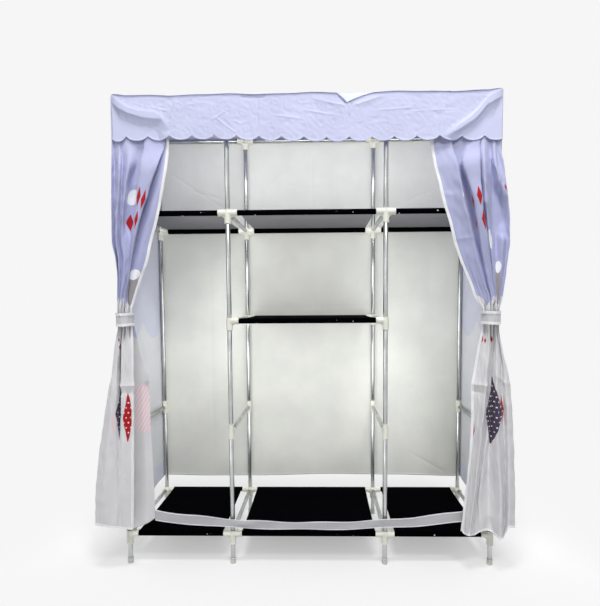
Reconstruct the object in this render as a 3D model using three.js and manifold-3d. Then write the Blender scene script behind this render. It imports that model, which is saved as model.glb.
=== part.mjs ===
// Portable fabric wardrobe: a frame of plug-together steel tubes with fabric shelves,
// under a sewn fabric cover whose two front curtains are tied back.
// Millimetres, +Z up, the front faces -Y, +X is to the right seen from the front.
import * as THREE from "three";
import { mergeVertices } from "three/addons/utils/BufferGeometryUtils.js";
import Module from "manifold-3d";

const wasm = await Module();
wasm.setup();

// Frame layout, measured between post centres
const frameWidth = 1270;
const middleBay = 536;
const frameDepth = 430;
const baseLevel = 108;
const braceLevel = 474;
const midLevel = 859;
const topLevel = 1226;
const roofLevel = 1599;

// Steel tube
const tubeRadius = 8;
const tubeWall = 0.6;
const roundSides = 12;

// Foot cap on each post
const capRadius = 10;
const capHeight = 21;
const capFloor = 3;
const capChamfer = 1.5;

// Moulded connectors
const plugClearance = 0.3;
const socketWall = 2.9;
const braceSocketWall = 2;
const armLength = 32.5;
const stemLength = 36;
const midStemLength = 32;
const braceHalfHeight = 25.5;
const braceArmLength = 27;

// Fabric shelves
const hemWall = 1;
const shelfThickness = 1;
const shelfEndGap = 1.2;

// Cover panels
const clothThickness = 1;
const seamGap = 0.3;
const frameGap = 0.4;
const panelHem = 167;
const sidePanelFrontHem = 125;

// Front return of each side panel, seen under the tied curtain
const returnTop = 1000;
const returnWidth = 108;
const returnInnerHem = 163;
// Places along the return's free edge: height above its hem and width, top to bottom
const returnShares = [
  [0.88, 0.44],
  [0.6, 0.89],
  [0.26, 0.92],
];

// Strip of cloth that joins the two returns in front of the base
const stripEndTop = 197;
const stripEndBottom = 157;
const stripMiddleTop = 155;
const stripMiddleBottom = 128;
const stripSteps = 10;

// Curtains and their ties
const curtainZone = 20;
const gatheredWidth = 200;
const curtainDepth = 86;
const curtainThickness = 2;
const curtainBackGap = 0.9;
const curtainHem = 145;
const rightCurtainHem = 118;
const curtainFolds = 4;
const pointsPerFold = 4;
const backPoints = 8;
const tieBottom = 845;
const tieHeight = 44;
const tieThickness = 1.4;
const tieBackRoom = 2.4;

// Valance with its scalloped hem
const valanceDrop = 163;
const valanceWave = 6;
const valanceWaves = 7;
const valanceCorner = 45;
const scallopPitch = 73;
const firstScallop = 58;
const scallopDepth = 15;
const pointsPerScallop = 4;
const valanceRows = 3;

// Worked out from the sizes above
const socketRadius = tubeRadius + plugClearance;
const connectorRadius = socketRadius + socketWall;
const braceRadius = socketRadius + braceSocketWall;
const postPlaces = [-frameWidth / 2, -middleBay / 2, middleBay / 2, frameWidth / 2];
const frontLayer = -(connectorRadius + frameGap);
const frontLayerFace = frontLayer - clothThickness;
const curtainBack = frontLayerFace - curtainBackGap;
const curtainFront = curtainBack - curtainZone;
const valanceFace = curtainFront - frameGap - clothThickness - valanceWave;
const valanceEndFace = curtainBack - frameGap - clothThickness;
const sideInner = frameWidth / 2 + connectorRadius + frameGap;
const sideFace = sideInner + clothThickness;
const backInner = frameDepth + connectorRadius + frameGap;
const backFace = backInner + clothThickness;
const roofUnder = roofLevel + connectorRadius + frameGap;
const hangTop = roofUnder - seamGap;
const valanceHem = hangTop - valanceDrop;

const steel = new THREE.MeshStandardMaterial({ color: 0xb9bcba, roughness: 0.3, metalness: 0.9 });
const ivory = new THREE.MeshStandardMaterial({ color: 0xe9e8de, roughness: 0.5, metalness: 0 });
const blackCloth = new THREE.MeshStandardMaterial({ color: 0x0b0b0c, roughness: 0.95, metalness: 0 });
const lavender = new THREE.MeshStandardMaterial({ color: 0xc9caec, roughness: 0.9, metalness: 0 });
const print = new THREE.MeshStandardMaterial({ color: 0xb9bccb, roughness: 0.9, metalness: 0 });
const offWhite = new THREE.MeshStandardMaterial({ color: 0xdfe1da, roughness: 0.95, metalness: 0 });
const greyCloth = new THREE.MeshStandardMaterial({ color: 0xc4c6c8, roughness: 0.9, metalness: 0 });

const wardrobe = new THREE.Group();

function addNode(name, geometry, material, place = [0, 0, 0]) {
  const mesh = new THREE.Mesh(geometry, material);
  mesh.name = name;
  mesh.position.set(...place);
  wardrobe.add(mesh);
}

// Turns a closed three.js geometry into a solid that can be joined and cut
function toSolid(geometry) {
  const bare = geometry.clone();
  bare.deleteAttribute("normal");
  bare.deleteAttribute("uv");
  const merged = mergeVertices(bare);
  const mesh = new wasm.Mesh({
    numProp: 3,
    vertProperties: Float32Array.from(merged.attributes.position.array),
    triVerts: Uint32Array.from(merged.index.array),
  });
  return new wasm.Manifold(mesh);
}

function toGeometry(solid) {
  const mesh = solid.getMesh();
  const geometry = new THREE.BufferGeometry();
  geometry.setAttribute("position", new THREE.BufferAttribute(Float32Array.from(mesh.vertProperties), 3));
  geometry.setIndex(Array.from(mesh.triVerts));
  return geometry;
}

// A round rod between two places on a line parallel to one axis
function rod(axis, from, to, radius, centre) {
  const geometry = new THREE.CylinderGeometry(radius, radius, to - from, roundSides);
  if (axis === "x") geometry.rotateZ(-Math.PI / 2);
  if (axis === "z") geometry.rotateX(Math.PI / 2);
  const middle = (from + to) / 2;
  const along = { x: [middle, 0, 0], y: [0, middle, 0], z: [0, 0, middle] }[axis];
  geometry.translate(...along);
  geometry.translate(...centre);
  return toSolid(geometry);
}

function box(low, high) {
  const size = high.map((value, i) => value - low[i]);
  const geometry = new THREE.BoxGeometry(...size);
  geometry.translate(...low.map((value, i) => value + size[i] / 2));
  return geometry;
}

function circlePoints(radius, centreX = 0, centreY = 0, from = 0, count = roundSides) {
  const points = [];
  for (let i = 0; i < count; i++) {
    const angle = (2 * Math.PI * (from + i)) / roundSides;
    points.push(new THREE.Vector2(centreX + radius * Math.cos(angle), centreY + radius * Math.sin(angle)));
  }
  return points;
}

// A tube along X, open at both ends, starting at x = 0
function tubeAlongX(length) {
  const shape = new THREE.Shape(circlePoints(tubeRadius));
  shape.holes.push(new THREE.Path(circlePoints(tubeRadius - tubeWall)));
  const geometry = new THREE.ExtrudeGeometry(shape, { depth: length, bevelEnabled: false, steps: 1 });
  geometry.rotateY(Math.PI / 2);
  return geometry;
}

// A closed sheet from two matching grids of points, one for each face
function sheetGeometry(front, back) {
  const rows = front.length;
  const columns = front[0].length;
  const positions = [];
  for (const face of [front, back]) {
    for (const row of face) {
      for (const point of row) positions.push(...point);
    }
  }
  const index = [];
  const at = (face, row, column) => face * rows * columns + row * columns + column;
  const quad = (a, b, c, d) => index.push(a, b, c, a, c, d);
  for (let r = 0; r < rows - 1; r++) {
    for (let c = 0; c < columns - 1; c++) {
      quad(at(0, r, c), at(0, r + 1, c), at(0, r + 1, c + 1), at(0, r, c + 1));
      quad(at(1, r, c), at(1, r, c + 1), at(1, r + 1, c + 1), at(1, r + 1, c));
    }
    quad(at(0, r, 0), at(1, r, 0), at(1, r + 1, 0), at(0, r + 1, 0));
    quad(at(0, r, columns - 1), at(0, r + 1, columns - 1), at(1, r + 1, columns - 1), at(1, r, columns - 1));
  }
  for (let c = 0; c < columns - 1; c++) {
    quad(at(0, 0, c), at(0, 0, c + 1), at(1, 0, c + 1), at(1, 0, c));
    quad(at(0, rows - 1, c), at(1, rows - 1, c), at(1, rows - 1, c + 1), at(0, rows - 1, c + 1));
  }
  const geometry = new THREE.BufferGeometry();
  geometry.setAttribute("position", new THREE.Float32BufferAttribute(positions, 3));
  geometry.setIndex(index);
  return geometry;
}

// Eight posts, each a tube with its moulded foot cap
function post() {
  const postTop = roofLevel - socketRadius - plugClearance;
  const bore = tubeRadius - tubeWall;
  const profile = [
    new THREE.Vector2(0, 0),
    new THREE.Vector2(capRadius - capChamfer, 0),
    new THREE.Vector2(capRadius, capChamfer),
    new THREE.Vector2(capRadius, capHeight),
    new THREE.Vector2(tubeRadius, capHeight),
    new THREE.Vector2(tubeRadius, postTop),
    new THREE.Vector2(bore, postTop),
    new THREE.Vector2(bore, capFloor),
    new THREE.Vector2(0, capFloor),
  ];
  const geometry = new THREE.LatheGeometry(profile, roundSides);
  geometry.rotateX(Math.PI / 2);
  return geometry;
}

postPlaces.forEach((x, i) => {
  addNode(`post_front_${i + 1}`, post(), steel, [x, 0, 0]);
  addNode(`post_rear_${i + 1}`, post(), steel, [x, frameDepth, 0]);
});

// A connector on one post: a hub round the post, arms along X, and an arm towards the frame's inside
function connector(style, y, inward, arms) {
  const radius = style.radius;
  const centre = [0, y, 0];
  const top = style.railThrough ? radius : style.top;
  let body = rod("z", -style.stem, top, radius, centre);
  for (const arm of arms) {
    body = body.add(rod("x", Math.min(0, arm * armLength), Math.max(0, arm * armLength), radius, centre));
  }
  const reach = inward * style.backArm;
  return body.add(rod("y", Math.min(0, reach), Math.max(0, reach), radius, centre));
}

// The holes of that connector, for the post and for the rails
function connectorBores(style, y, arms) {
  const overrun = armLength;
  const centre = [0, y, 0];
  const boreTop = style.railThrough ? 0 : style.top + overrun;
  let bores = rod("z", -style.stem - overrun, boreTop, socketRadius, centre);
  for (const arm of arms) {
    const end = arm * (armLength + overrun);
    bores = bores.add(rod("x", Math.min(0, end), Math.max(0, end), socketRadius, centre));
  }
  return bores;
}

const shelfStyle = {
  radius: connectorRadius, stem: stemLength, top: connectorRadius, backArm: armLength, railThrough: false,
};
const midStyle = {
  radius: connectorRadius, stem: midStemLength, top: connectorRadius, backArm: armLength, railThrough: false,
};
const roofStyle = {
  radius: connectorRadius, stem: stemLength, top: connectorRadius, backArm: armLength, railThrough: true,
};
const braceStyle = {
  radius: braceRadius, stem: braceHalfHeight, top: braceHalfHeight, backArm: braceArmLength, railThrough: false,
};

// A crossbar runs from a front post to the rear one, with a connector moulded on at each end
function crossbar(style, arms) {
  const ends = [[0, 1], [frameDepth, -1]];
  let body = rod("y", 0, frameDepth, tubeRadius, [0, 0, 0]);
  for (const [y, inward] of ends) body = body.add(connector(style, y, inward, arms));
  body = body.subtract(rod("y", 0, frameDepth, tubeRadius - tubeWall, [0, 0, 0]));
  for (const [y] of ends) body = body.subtract(connectorBores(style, y, arms));
  return toGeometry(body);
}

const lastPost = postPlaces.length - 1;
const tiers = [
  { name: "base", level: baseLevel, style: shelfStyle, posts: [0, 1, 2, 3], rails: true },
  { name: "brace", level: braceLevel, style: braceStyle, posts: [0, 1, 2, 3], rails: false },
  { name: "mid", level: midLevel, style: midStyle, posts: [1, 2], rails: true },
  { name: "top", level: topLevel, style: shelfStyle, posts: [0, 1, 2, 3], rails: true },
  { name: "roof", level: roofLevel, style: roofStyle, posts: [0, 1, 2, 3], rails: true },
];

for (const tier of tiers) {
  const first = tier.posts[0];
  const last = tier.posts[tier.posts.length - 1];
  for (const i of tier.posts) {
    const arms = [];
    if (tier.rails && i > first) arms.push(-1);
    if (tier.rails && i < last) arms.push(1);
    addNode(`crossbar_${tier.name}_${i + 1}`, crossbar(tier.style, arms), ivory, [postPlaces[i], 0, tier.level]);
  }
}

// Rails along X between neighbouring posts, plugged into the connectors' arms
const bayNames = ["left", "centre", "right"];
const railEnd = socketRadius;
const rows = [["front", 0], ["rear", frameDepth]];

function addRail(name, fromPost, toPost, y, level) {
  const start = postPlaces[fromPost] + railEnd;
  const end = postPlaces[toPost] - railEnd;
  addNode(name, tubeAlongX(end - start), steel, [start, y, level]);
}

for (const [row, y] of rows) {
  bayNames.forEach((bay, i) => {
    addRail(`rail_base_${row}_${bay}`, i, i + 1, y, baseLevel);
    addRail(`rail_top_${row}_${bay}`, i, i + 1, y, topLevel);
  });
  addRail(`rail_mid_${row}`, 1, 2, y, midLevel);
  addRail(`rail_roof_${row}`, 0, lastPost, y, roofLevel);
}

// A fabric shelf: a sheet with a sleeve sewn round the front rail and one round the rear rail
function shelf(width) {
  const outer = socketRadius + hemWall;
  const underside = outer - shelfThickness;
  const quarter = roundSides / 4;
  const hemPoints = 3 * quarter + 2;
  const meetX = outer * Math.cos((2 * Math.PI * (quarter - 1)) / roundSides);
  const outline = [
    ...circlePoints(outer, 0, 0, quarter, hemPoints),
    new THREE.Vector2(meetX, underside),
    new THREE.Vector2(frameDepth - meetX, underside),
    ...circlePoints(outer, frameDepth, 0, quarter + 2, hemPoints),
  ];
  const shape = new THREE.Shape(outline);
  shape.holes.push(new THREE.Path(circlePoints(socketRadius)));
  shape.holes.push(new THREE.Path(circlePoints(socketRadius, frameDepth, 0)));
  const geometry = new THREE.ExtrudeGeometry(shape, { depth: width, bevelEnabled: false, steps: 1 });
  geometry.rotateX(Math.PI / 2);
  geometry.rotateZ(Math.PI / 2);
  return geometry;
}

function addShelf(name, bay, level) {
  const start = postPlaces[bay] + armLength + shelfEndGap;
  const end = postPlaces[bay + 1] - armLength - shelfEndGap;
  addNode(name, shelf(end - start), blackCloth, [start, 0, level]);
}

bayNames.forEach((bay, i) => {
  addShelf(`shelf_base_${bay}`, i, baseLevel);
  addShelf(`shelf_top_${bay}`, i, topLevel);
});
addShelf("shelf_mid", 1, midLevel);

// The valance's front face in plan: straight, with rounded corners that come back to the side panels
function valanceFaceAt(x) {
  const fromEnd = sideFace - Math.abs(x);
  if (fromEnd >= valanceCorner) return valanceFace;
  const share = 1 - fromEnd / valanceCorner;
  return valanceEndFace + (valanceFace - valanceEndFace) * Math.sqrt(Math.max(0, 1 - share * share));
}

// Columns of the valance, a few to each scallop
function valanceColumns() {
  const columns = [];
  let start = -sideFace;
  let end = -sideFace + firstScallop;
  while (start < sideFace) {
    for (let i = 0; i < pointsPerScallop; i++) {
      columns.push({ x: start + ((end - start) * i) / pointsPerScallop, share: i / pointsPerScallop });
    }
    start = end;
    end = Math.min(end + scallopPitch, sideFace);
  }
  columns.push({ x: sideFace, share: 1 });
  return columns;
}

const columns = valanceColumns();

function roofSheet() {
  const outline = columns.map(({ x }) => new THREE.Vector2(x, valanceFaceAt(x)));
  outline.push(new THREE.Vector2(sideFace, backFace), new THREE.Vector2(-sideFace, backFace));
  const shape = new THREE.Shape(outline);
  return new THREE.ExtrudeGeometry(shape, { depth: clothThickness, bevelEnabled: false, steps: 1 });
}

function valance() {
  const faces = [0, clothThickness].map((inset) => {
    const grid = [];
    for (let row = 0; row <= valanceRows; row++) {
      const drop = row / valanceRows;
      grid.push(columns.map(({ x, share }) => {
        const hem = valanceHem + scallopDepth * Math.pow(Math.abs(2 * share - 1), 2);
        const cornerFade = Math.min(1, (sideFace - Math.abs(x)) / valanceCorner);
        const ripple = 1 - Math.cos((2 * Math.PI * valanceWaves * x) / frameWidth);
        const wave = (valanceWave / 2) * drop * cornerFade * ripple;
        return [x, valanceFaceAt(x) + wave + inset, hangTop + (hem - hangTop) * drop];
      }));
    }
    return grid;
  });
  return sheetGeometry(faces[0], faces[1]);
}

addNode("cover_roof", roofSheet(), lavender, [0, 0, roofUnder]);
addNode("valance", valance(), lavender);
addNode("back_panel", box([-sideFace, backInner, panelHem], [sideFace, backFace, hangTop]), offWhite);

// A side panel with the narrow return that closes the corner of the front opening
function sidePanel(side) {
  const sideRear = backInner - seamGap;
  const panel = new THREE.Shape([
    new THREE.Vector2(frontLayerFace, sidePanelFrontHem),
    new THREE.Vector2(sideRear, panelHem),
    new THREE.Vector2(sideRear, hangTop),
    new THREE.Vector2(frontLayerFace, hangTop),
  ]);
  const panelGeometry = new THREE.ExtrudeGeometry(panel, { depth: clothThickness, bevelEnabled: false, steps: 1 });
  panelGeometry.rotateX(Math.PI / 2);
  panelGeometry.rotateZ(Math.PI / 2);
  panelGeometry.translate(side > 0 ? sideInner : -sideFace, 0, 0);
  const rise = returnTop - sidePanelFrontHem;
  const edge = returnShares.map(([height, width]) => new THREE.Vector2(
    sideFace - returnWidth * width, sidePanelFrontHem + rise * height,
  ));
  const outline = [
    new THREE.Vector2(sideFace, sidePanelFrontHem),
    new THREE.Vector2(sideFace, returnTop),
    ...edge,
    new THREE.Vector2(sideFace - returnWidth, returnInnerHem),
  ];
  const mirrored = outline.map((point) => new THREE.Vector2(side * point.x, point.y));
  const returnShape = new THREE.Shape(mirrored);
  const returnGeometry = new THREE.ExtrudeGeometry(returnShape, {
    depth: clothThickness, bevelEnabled: false, steps: 1,
  });
  returnGeometry.rotateX(Math.PI / 2);
  returnGeometry.translate(0, frontLayer, 0);
  return toGeometry(toSolid(panelGeometry).add(toSolid(returnGeometry)));
}

addNode("side_panel_left", sidePanel(-1), print);
addNode("side_panel_right", sidePanel(1), print);

// The strip sags between the two returns
function frontStrip() {
  const end = sideFace - returnWidth - seamGap;
  const faces = [frontLayerFace, frontLayer].map((y) => {
    const top = [];
    const bottom = [];
    for (let i = 0; i <= stripSteps; i++) {
      const place = (2 * i) / stripSteps - 1;
      const lift = place * place;
      top.push([end * place, y, stripMiddleTop + (stripEndTop - stripMiddleTop) * lift]);
      bottom.push([end * place, y, stripMiddleBottom + (stripEndBottom - stripMiddleBottom) * lift]);
    }
    return [top, bottom];
  });
  return sheetGeometry(faces[0], faces[1]);
}

addNode("front_strip", frontStrip(), greyCloth);

// Curtain sections. Height is a share of the drop from roof to tie or from tie to hem;
// outer is how far the section reaches past the side panel and inner how far it reaches in from it,
// both as shares of the gathered width; depth is a share of the extra depth below the valance,
// and edge is how far forward the section's two side edges stand, as a share of its depth.
const tieTop = tieBottom + tieHeight;
const leftAboveTieShares = [
  { height: 1, outer: -0.02, inner: 0.96, depth: 0, edge: 0 },
  { height: 0.75, outer: -0.02, inner: 0.93, depth: 0, edge: 0 },
  { height: 0.56, outer: 0.01, inner: 0.774, depth: 0.36, edge: 0.1 },
  { height: 0.37, outer: 0, inner: 0.62, depth: 0.45, edge: 0.15 },
  { height: 0.2, outer: 0, inner: 0.475, depth: 0.5, edge: 0.2 },
];
const leftBelowTieShares = [
  { height: 0.81, outer: 0.15, inner: 0.28, depth: 0.6, edge: 0.45 },
  { height: 0.64, outer: 0.22, inner: 0.28, depth: 0.7, edge: 0.5 },
  { height: 0.44, outer: 0.33, inner: 0.253, depth: 0.82, edge: 0.6 },
  { height: 0.25, outer: 0.372, inner: 0.248, depth: 0.94, edge: 0.65 },
  { height: 0, outer: 0.39, inner: 0.26, depth: 1, edge: 0.7 },
];
const rightAboveTieShares = [
  { height: 1, outer: -0.02, inner: 1.15, depth: 0, edge: 0 },
  { height: 0.75, outer: -0.02, inner: 1.13, depth: 0, edge: 0 },
  { height: 0.6, outer: 0.08, inner: 1.015, depth: 0.36, edge: 0.05 },
  { height: 0.45, outer: 0.165, inner: 0.89, depth: 0.45, edge: 0.1 },
  { height: 0.32, outer: 0.17, inner: 0.75, depth: 0.48, edge: 0.1 },
  { height: 0.2, outer: 0.12, inner: 0.6, depth: 0.5, edge: 0.15 },
  { height: 0.1, outer: 0.06, inner: 0.46, depth: 0.51, edge: 0.2 },
];
const rightBelowTieShares = [
  { height: 0.84, outer: 0.08, inner: 0.35, depth: 0.58, edge: 0.2 },
  { height: 0.77, outer: 0.12, inner: 0.43, depth: 0.6, edge: 0.2 },
  { height: 0.65, outer: 0.2, inner: 0.4, depth: 0.68, edge: 0.2 },
  { height: 0.47, outer: 0.27, inner: 0.455, depth: 0.8, edge: 0.2 },
  { height: 0.2, outer: 0.3, inner: 0.56, depth: 0.92, edge: 0.2 },
  { height: 0, outer: 0.307, inner: 0.605, depth: 1, edge: 0.2 },
];
const tieSectionShares = { outer: 0, inner: 0.295, depth: 0.5, edge: 0.3 };
const foldGrooveShare = 0.42;
const tieGrooveShare = 0.12;

function sectionAt(side, shares, z, groove) {
  const outer = sideFace + gatheredWidth * shares.outer;
  const inner = sideFace - gatheredWidth * shares.inner;
  const depth = curtainZone + (curtainDepth - curtainZone) * shares.depth;
  return {
    middle: (side * (outer + inner)) / 2,
    half: (outer - inner) / 2,
    depth, z, groove,
    edge: shares.edge,
    back: curtainBack,
  };
}

// The fluted front of a section from left to right, grown outwards or inwards
function frontLine(section, grow = 0) {
  const { middle, half, depth, groove, edge, back } = section;
  const edgeDepth = depth * edge;
  const frontDepth = depth - edgeDepth;
  const points = [];
  const count = curtainFolds * pointsPerFold;
  for (let i = 0; i <= count; i++) {
    const share = i / count;
    const flute = 1 - groove * (0.5 - 0.5 * Math.cos(2 * Math.PI * curtainFolds * share));
    const bulge = (frontDepth * flute + grow) * Math.sin(Math.PI * share);
    points.push([middle - (half + grow) * Math.cos(Math.PI * share), back - edgeDepth - bulge]);
  }
  return points;
}

// The smooth back of a section from right to left
function backLine(section, grow = 0) {
  const { middle, half, depth, edge, back } = section;
  const edgeDepth = depth * edge;
  const points = [];
  for (let i = 1; i < backPoints; i++) {
    const share = i / backPoints;
    const bulge = (edgeDepth + grow) * Math.sin(Math.PI * share);
    points.push([middle + (half + grow) * Math.cos(Math.PI * share), back - edgeDepth + bulge]);
  }
  return points;
}

function tieSection(side, z) {
  const section = sectionAt(side, tieSectionShares, z, tieGrooveShare);
  section.back -= tieBackRoom;
  return section;
}

// Stacks the sections into one sheet of cloth, open at the back
function stackSections(sections) {
  const rings = sections.map((section) => {
    const outline = [...frontLine(section), ...frontLine(section, -curtainThickness).reverse()];
    return outline.map(([x, y]) => [x, y, section.z]);
  });
  const count = rings[0].length;
  const positions = rings.flat(2);
  const index = [];
  for (let r = 0; r < rings.length - 1; r++) {
    for (let i = 0; i < count; i++) {
      const next = (i + 1) % count;
      const a = r * count + i;
      const b = r * count + next;
      index.push(a, b, b + count, a, b + count, a + count);
    }
  }
  const lastRing = (rings.length - 1) * count;
  for (const start of [0, lastRing]) {
    const outline = rings[start / count].map(([x, y]) => new THREE.Vector2(x, y));
    for (const [a, b, c] of THREE.ShapeUtils.triangulateShape(outline, [])) {
      if (start === 0) index.push(a, c, b);
      else index.push(start + a, start + b, start + c);
    }
  }
  const geometry = new THREE.BufferGeometry();
  geometry.setAttribute("position", new THREE.Float32BufferAttribute(positions, 3));
  geometry.setIndex(index);
  return geometry;
}

function curtain(side, aboveShares, belowShares, hem) {
  const below = belowShares.map((row) => (
    sectionAt(side, row, hem + (tieBottom - hem) * row.height, foldGrooveShare)
  ));
  const above = aboveShares.map((row) => (
    sectionAt(side, row, tieTop + (hangTop - tieTop) * row.height, foldGrooveShare)
  ));
  const sections = [
    ...below.reverse(), tieSection(side, tieBottom), tieSection(side, tieTop), ...above.reverse(),
  ];
  return stackSections(sections);
}

// A loop of cloth round the gathered curtain
function tie(side) {
  const section = tieSection(side, 0);
  section.groove = 0;
  const loop = (grow) => [...frontLine(section, grow), ...backLine(section, grow)];
  const outline = loop(seamGap + tieThickness).map(([x, y]) => new THREE.Vector2(x, y));
  const hole = loop(seamGap).map(([x, y]) => new THREE.Vector2(x, y));
  const shape = new THREE.Shape(outline);
  shape.holes.push(new THREE.Path(hole));
  return new THREE.ExtrudeGeometry(shape, { depth: tieHeight, bevelEnabled: false, steps: 1 });
}

addNode("curtain_left", curtain(-1, leftAboveTieShares, leftBelowTieShares, curtainHem), print);
addNode("curtain_right", curtain(1, rightAboveTieShares, rightBelowTieShares, rightCurtainHem), print);
addNode("tie_left", tie(-1), greyCloth, [0, 0, tieBottom]);
addNode("tie_right", tie(1), greyCloth, [0, 0, tieBottom]);

// The origin is on the floor, under the middle of everything
const extent = new THREE.Box3().setFromObject(wardrobe);
const middle = extent.getCenter(new THREE.Vector3());
wardrobe.position.set(-middle.x, -middle.y, 0);

export default wardrobe;
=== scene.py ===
"""The looks of a portable fabric wardrobe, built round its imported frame.

Metres, +Z up, the front faces -Y and +X is to the right seen from the front.
"""
import math
from functools import partialmethod

import bmesh
import bpy
import numpy as np
from mathutils import Matrix, Vector


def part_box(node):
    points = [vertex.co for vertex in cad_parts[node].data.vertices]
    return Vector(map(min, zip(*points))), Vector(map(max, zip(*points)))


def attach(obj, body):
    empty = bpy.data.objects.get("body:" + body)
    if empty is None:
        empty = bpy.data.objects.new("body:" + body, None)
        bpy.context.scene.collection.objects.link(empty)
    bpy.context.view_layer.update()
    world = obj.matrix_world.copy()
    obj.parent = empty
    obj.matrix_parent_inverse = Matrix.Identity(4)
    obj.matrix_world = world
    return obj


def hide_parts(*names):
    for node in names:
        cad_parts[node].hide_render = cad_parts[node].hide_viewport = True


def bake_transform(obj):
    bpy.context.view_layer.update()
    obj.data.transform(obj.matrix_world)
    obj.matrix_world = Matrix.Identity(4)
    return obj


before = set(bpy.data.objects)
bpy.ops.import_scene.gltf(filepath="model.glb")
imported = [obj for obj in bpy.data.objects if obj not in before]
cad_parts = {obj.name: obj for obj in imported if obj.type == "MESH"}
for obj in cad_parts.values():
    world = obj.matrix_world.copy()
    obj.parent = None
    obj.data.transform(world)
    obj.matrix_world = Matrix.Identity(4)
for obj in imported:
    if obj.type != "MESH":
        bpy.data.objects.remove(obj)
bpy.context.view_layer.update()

MM = 0.001
FULL_TURN = 2 * math.pi


def middle(node):
    low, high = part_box(node)
    return (low + high) / 2


def side_face(side):
    """The outer face of the cover on one side: -1 is left and 1 is right."""
    return COVER_LEFT if side < 0 else COVER_RIGHT


# Places read from the frame
POST_X = [middle(f"post_front_{i}").x for i in range(1, 5)]
FRONT_Y = middle("post_front_1").y
REAR_Y = middle("post_rear_1").y
LEVELS = {
    "base": middle("rail_base_front_left").z,
    "brace": middle("crossbar_brace_1").z,
    "mid": middle("rail_mid_front").z,
    "top": middle("rail_top_front_left").z,
    "roof": middle("rail_roof_front").z,
}
BAYS = ("left", "centre", "right")
ROWS = (("front", FRONT_Y, 1), ("rear", REAR_Y, -1))
COVER_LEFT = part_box("cover_roof")[0].x
COVER_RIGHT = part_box("cover_roof")[1].x
BACK_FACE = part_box("back_panel")[1].y
FRONT_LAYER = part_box("front_strip")[0].y
VALANCE_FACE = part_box("valance")[0].y
ROOF_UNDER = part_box("cover_roof")[0].z

# Tubes, connectors and caps
TUBE_RADIUS = 8 * MM
TUBE_WALL = 0.6 * MM
TUBE_EASE = 0.4 * MM
TUBE_SIDES = 40
SOCKET_GAP = 0.3 * MM
HUB_RADIUS = 11.2 * MM
BRACE_RADIUS = 10.3 * MM
ARM_LENGTH = 32.5 * MM
BRACE_ARM_LENGTH = 27 * MM
BRACE_HALF_HEIGHT = 25.5 * MM
STEM_LENGTH = 36 * MM
MID_STEM_LENGTH = 32 * MM
COLLAR_WIDTH = 3 * MM
COLLAR_RISE = 0.5 * MM
WEB_THICKNESS = 3 * MM
WEB_SHARE = 0.75
WEB_DROP = 21 * MM
WEB_INSET = 4 * MM
WEB_TIP = 1 * MM
WEB_LIFT = 2 * MM
MERGE_DISTANCE = 0.001 * MM
TUBE_END_GAP = 0.5 * MM
INNER_STOP = 12 * MM
CAP_RADIUS = 10 * MM
CAP_HEIGHT = 21 * MM
CAP_FLOOR = 3 * MM
CAP_EDGE = 2 * MM
CAP_ARC_POINTS = 6
CAP_SIDES = 32
POST_FOOT = 3.3 * MM

# Cloth
CLOTH = 0.9 * MM
BINDING_EXTRA = 1.6 * MM
BINDING_WIDTH = 9 * MM
WEAVE_PITCH = 1.5 * MM


def srgb(red, green, blue):
    """A colour given as 0 to 255, in the linear values that shaders take."""
    shares = [value / 255 for value in (red, green, blue)]
    return tuple(s / 12.92 if s <= 0.04045 else ((s + 0.055) / 1.055) ** 2.4 for s in shares)


LAVENDER = srgb(207, 210, 239)
LAVENDER_DEEP = srgb(190, 192, 228)
LOW_GREY = srgb(223, 222, 224)
REVERSE_PALE = srgb(226, 229, 234)
OFF_WHITE = srgb(229, 230, 223)
STRIP_GREY = srgb(190, 190, 193)
TIE_GREY = srgb(208, 208, 211)
BINDING_WHITE = srgb(246, 246, 248)
IVORY = srgb(240, 240, 228)
CAP_IVORY = srgb(222, 223, 212)
SHELF_BLACK = srgb(2, 2, 4)
PRINT_SKY = srgb(190, 193, 225)
PRINT_SKY_DEEP = srgb(172, 175, 210)
SHELF_UNDER = srgb(120, 120, 123)
SPECK_WHITE = srgb(225, 226, 230)
STEEL = srgb(206, 208, 208)
STEEL_DULL = srgb(186, 188, 187)
MOTIF_RED = srgb(176, 22, 30)
MOTIF_PLUM = srgb(72, 58, 84)
MOTIF_PINK = srgb(238, 212, 217)
FLOOR_WHITE = srgb(246, 246, 246)


# Shader nodes

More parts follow.
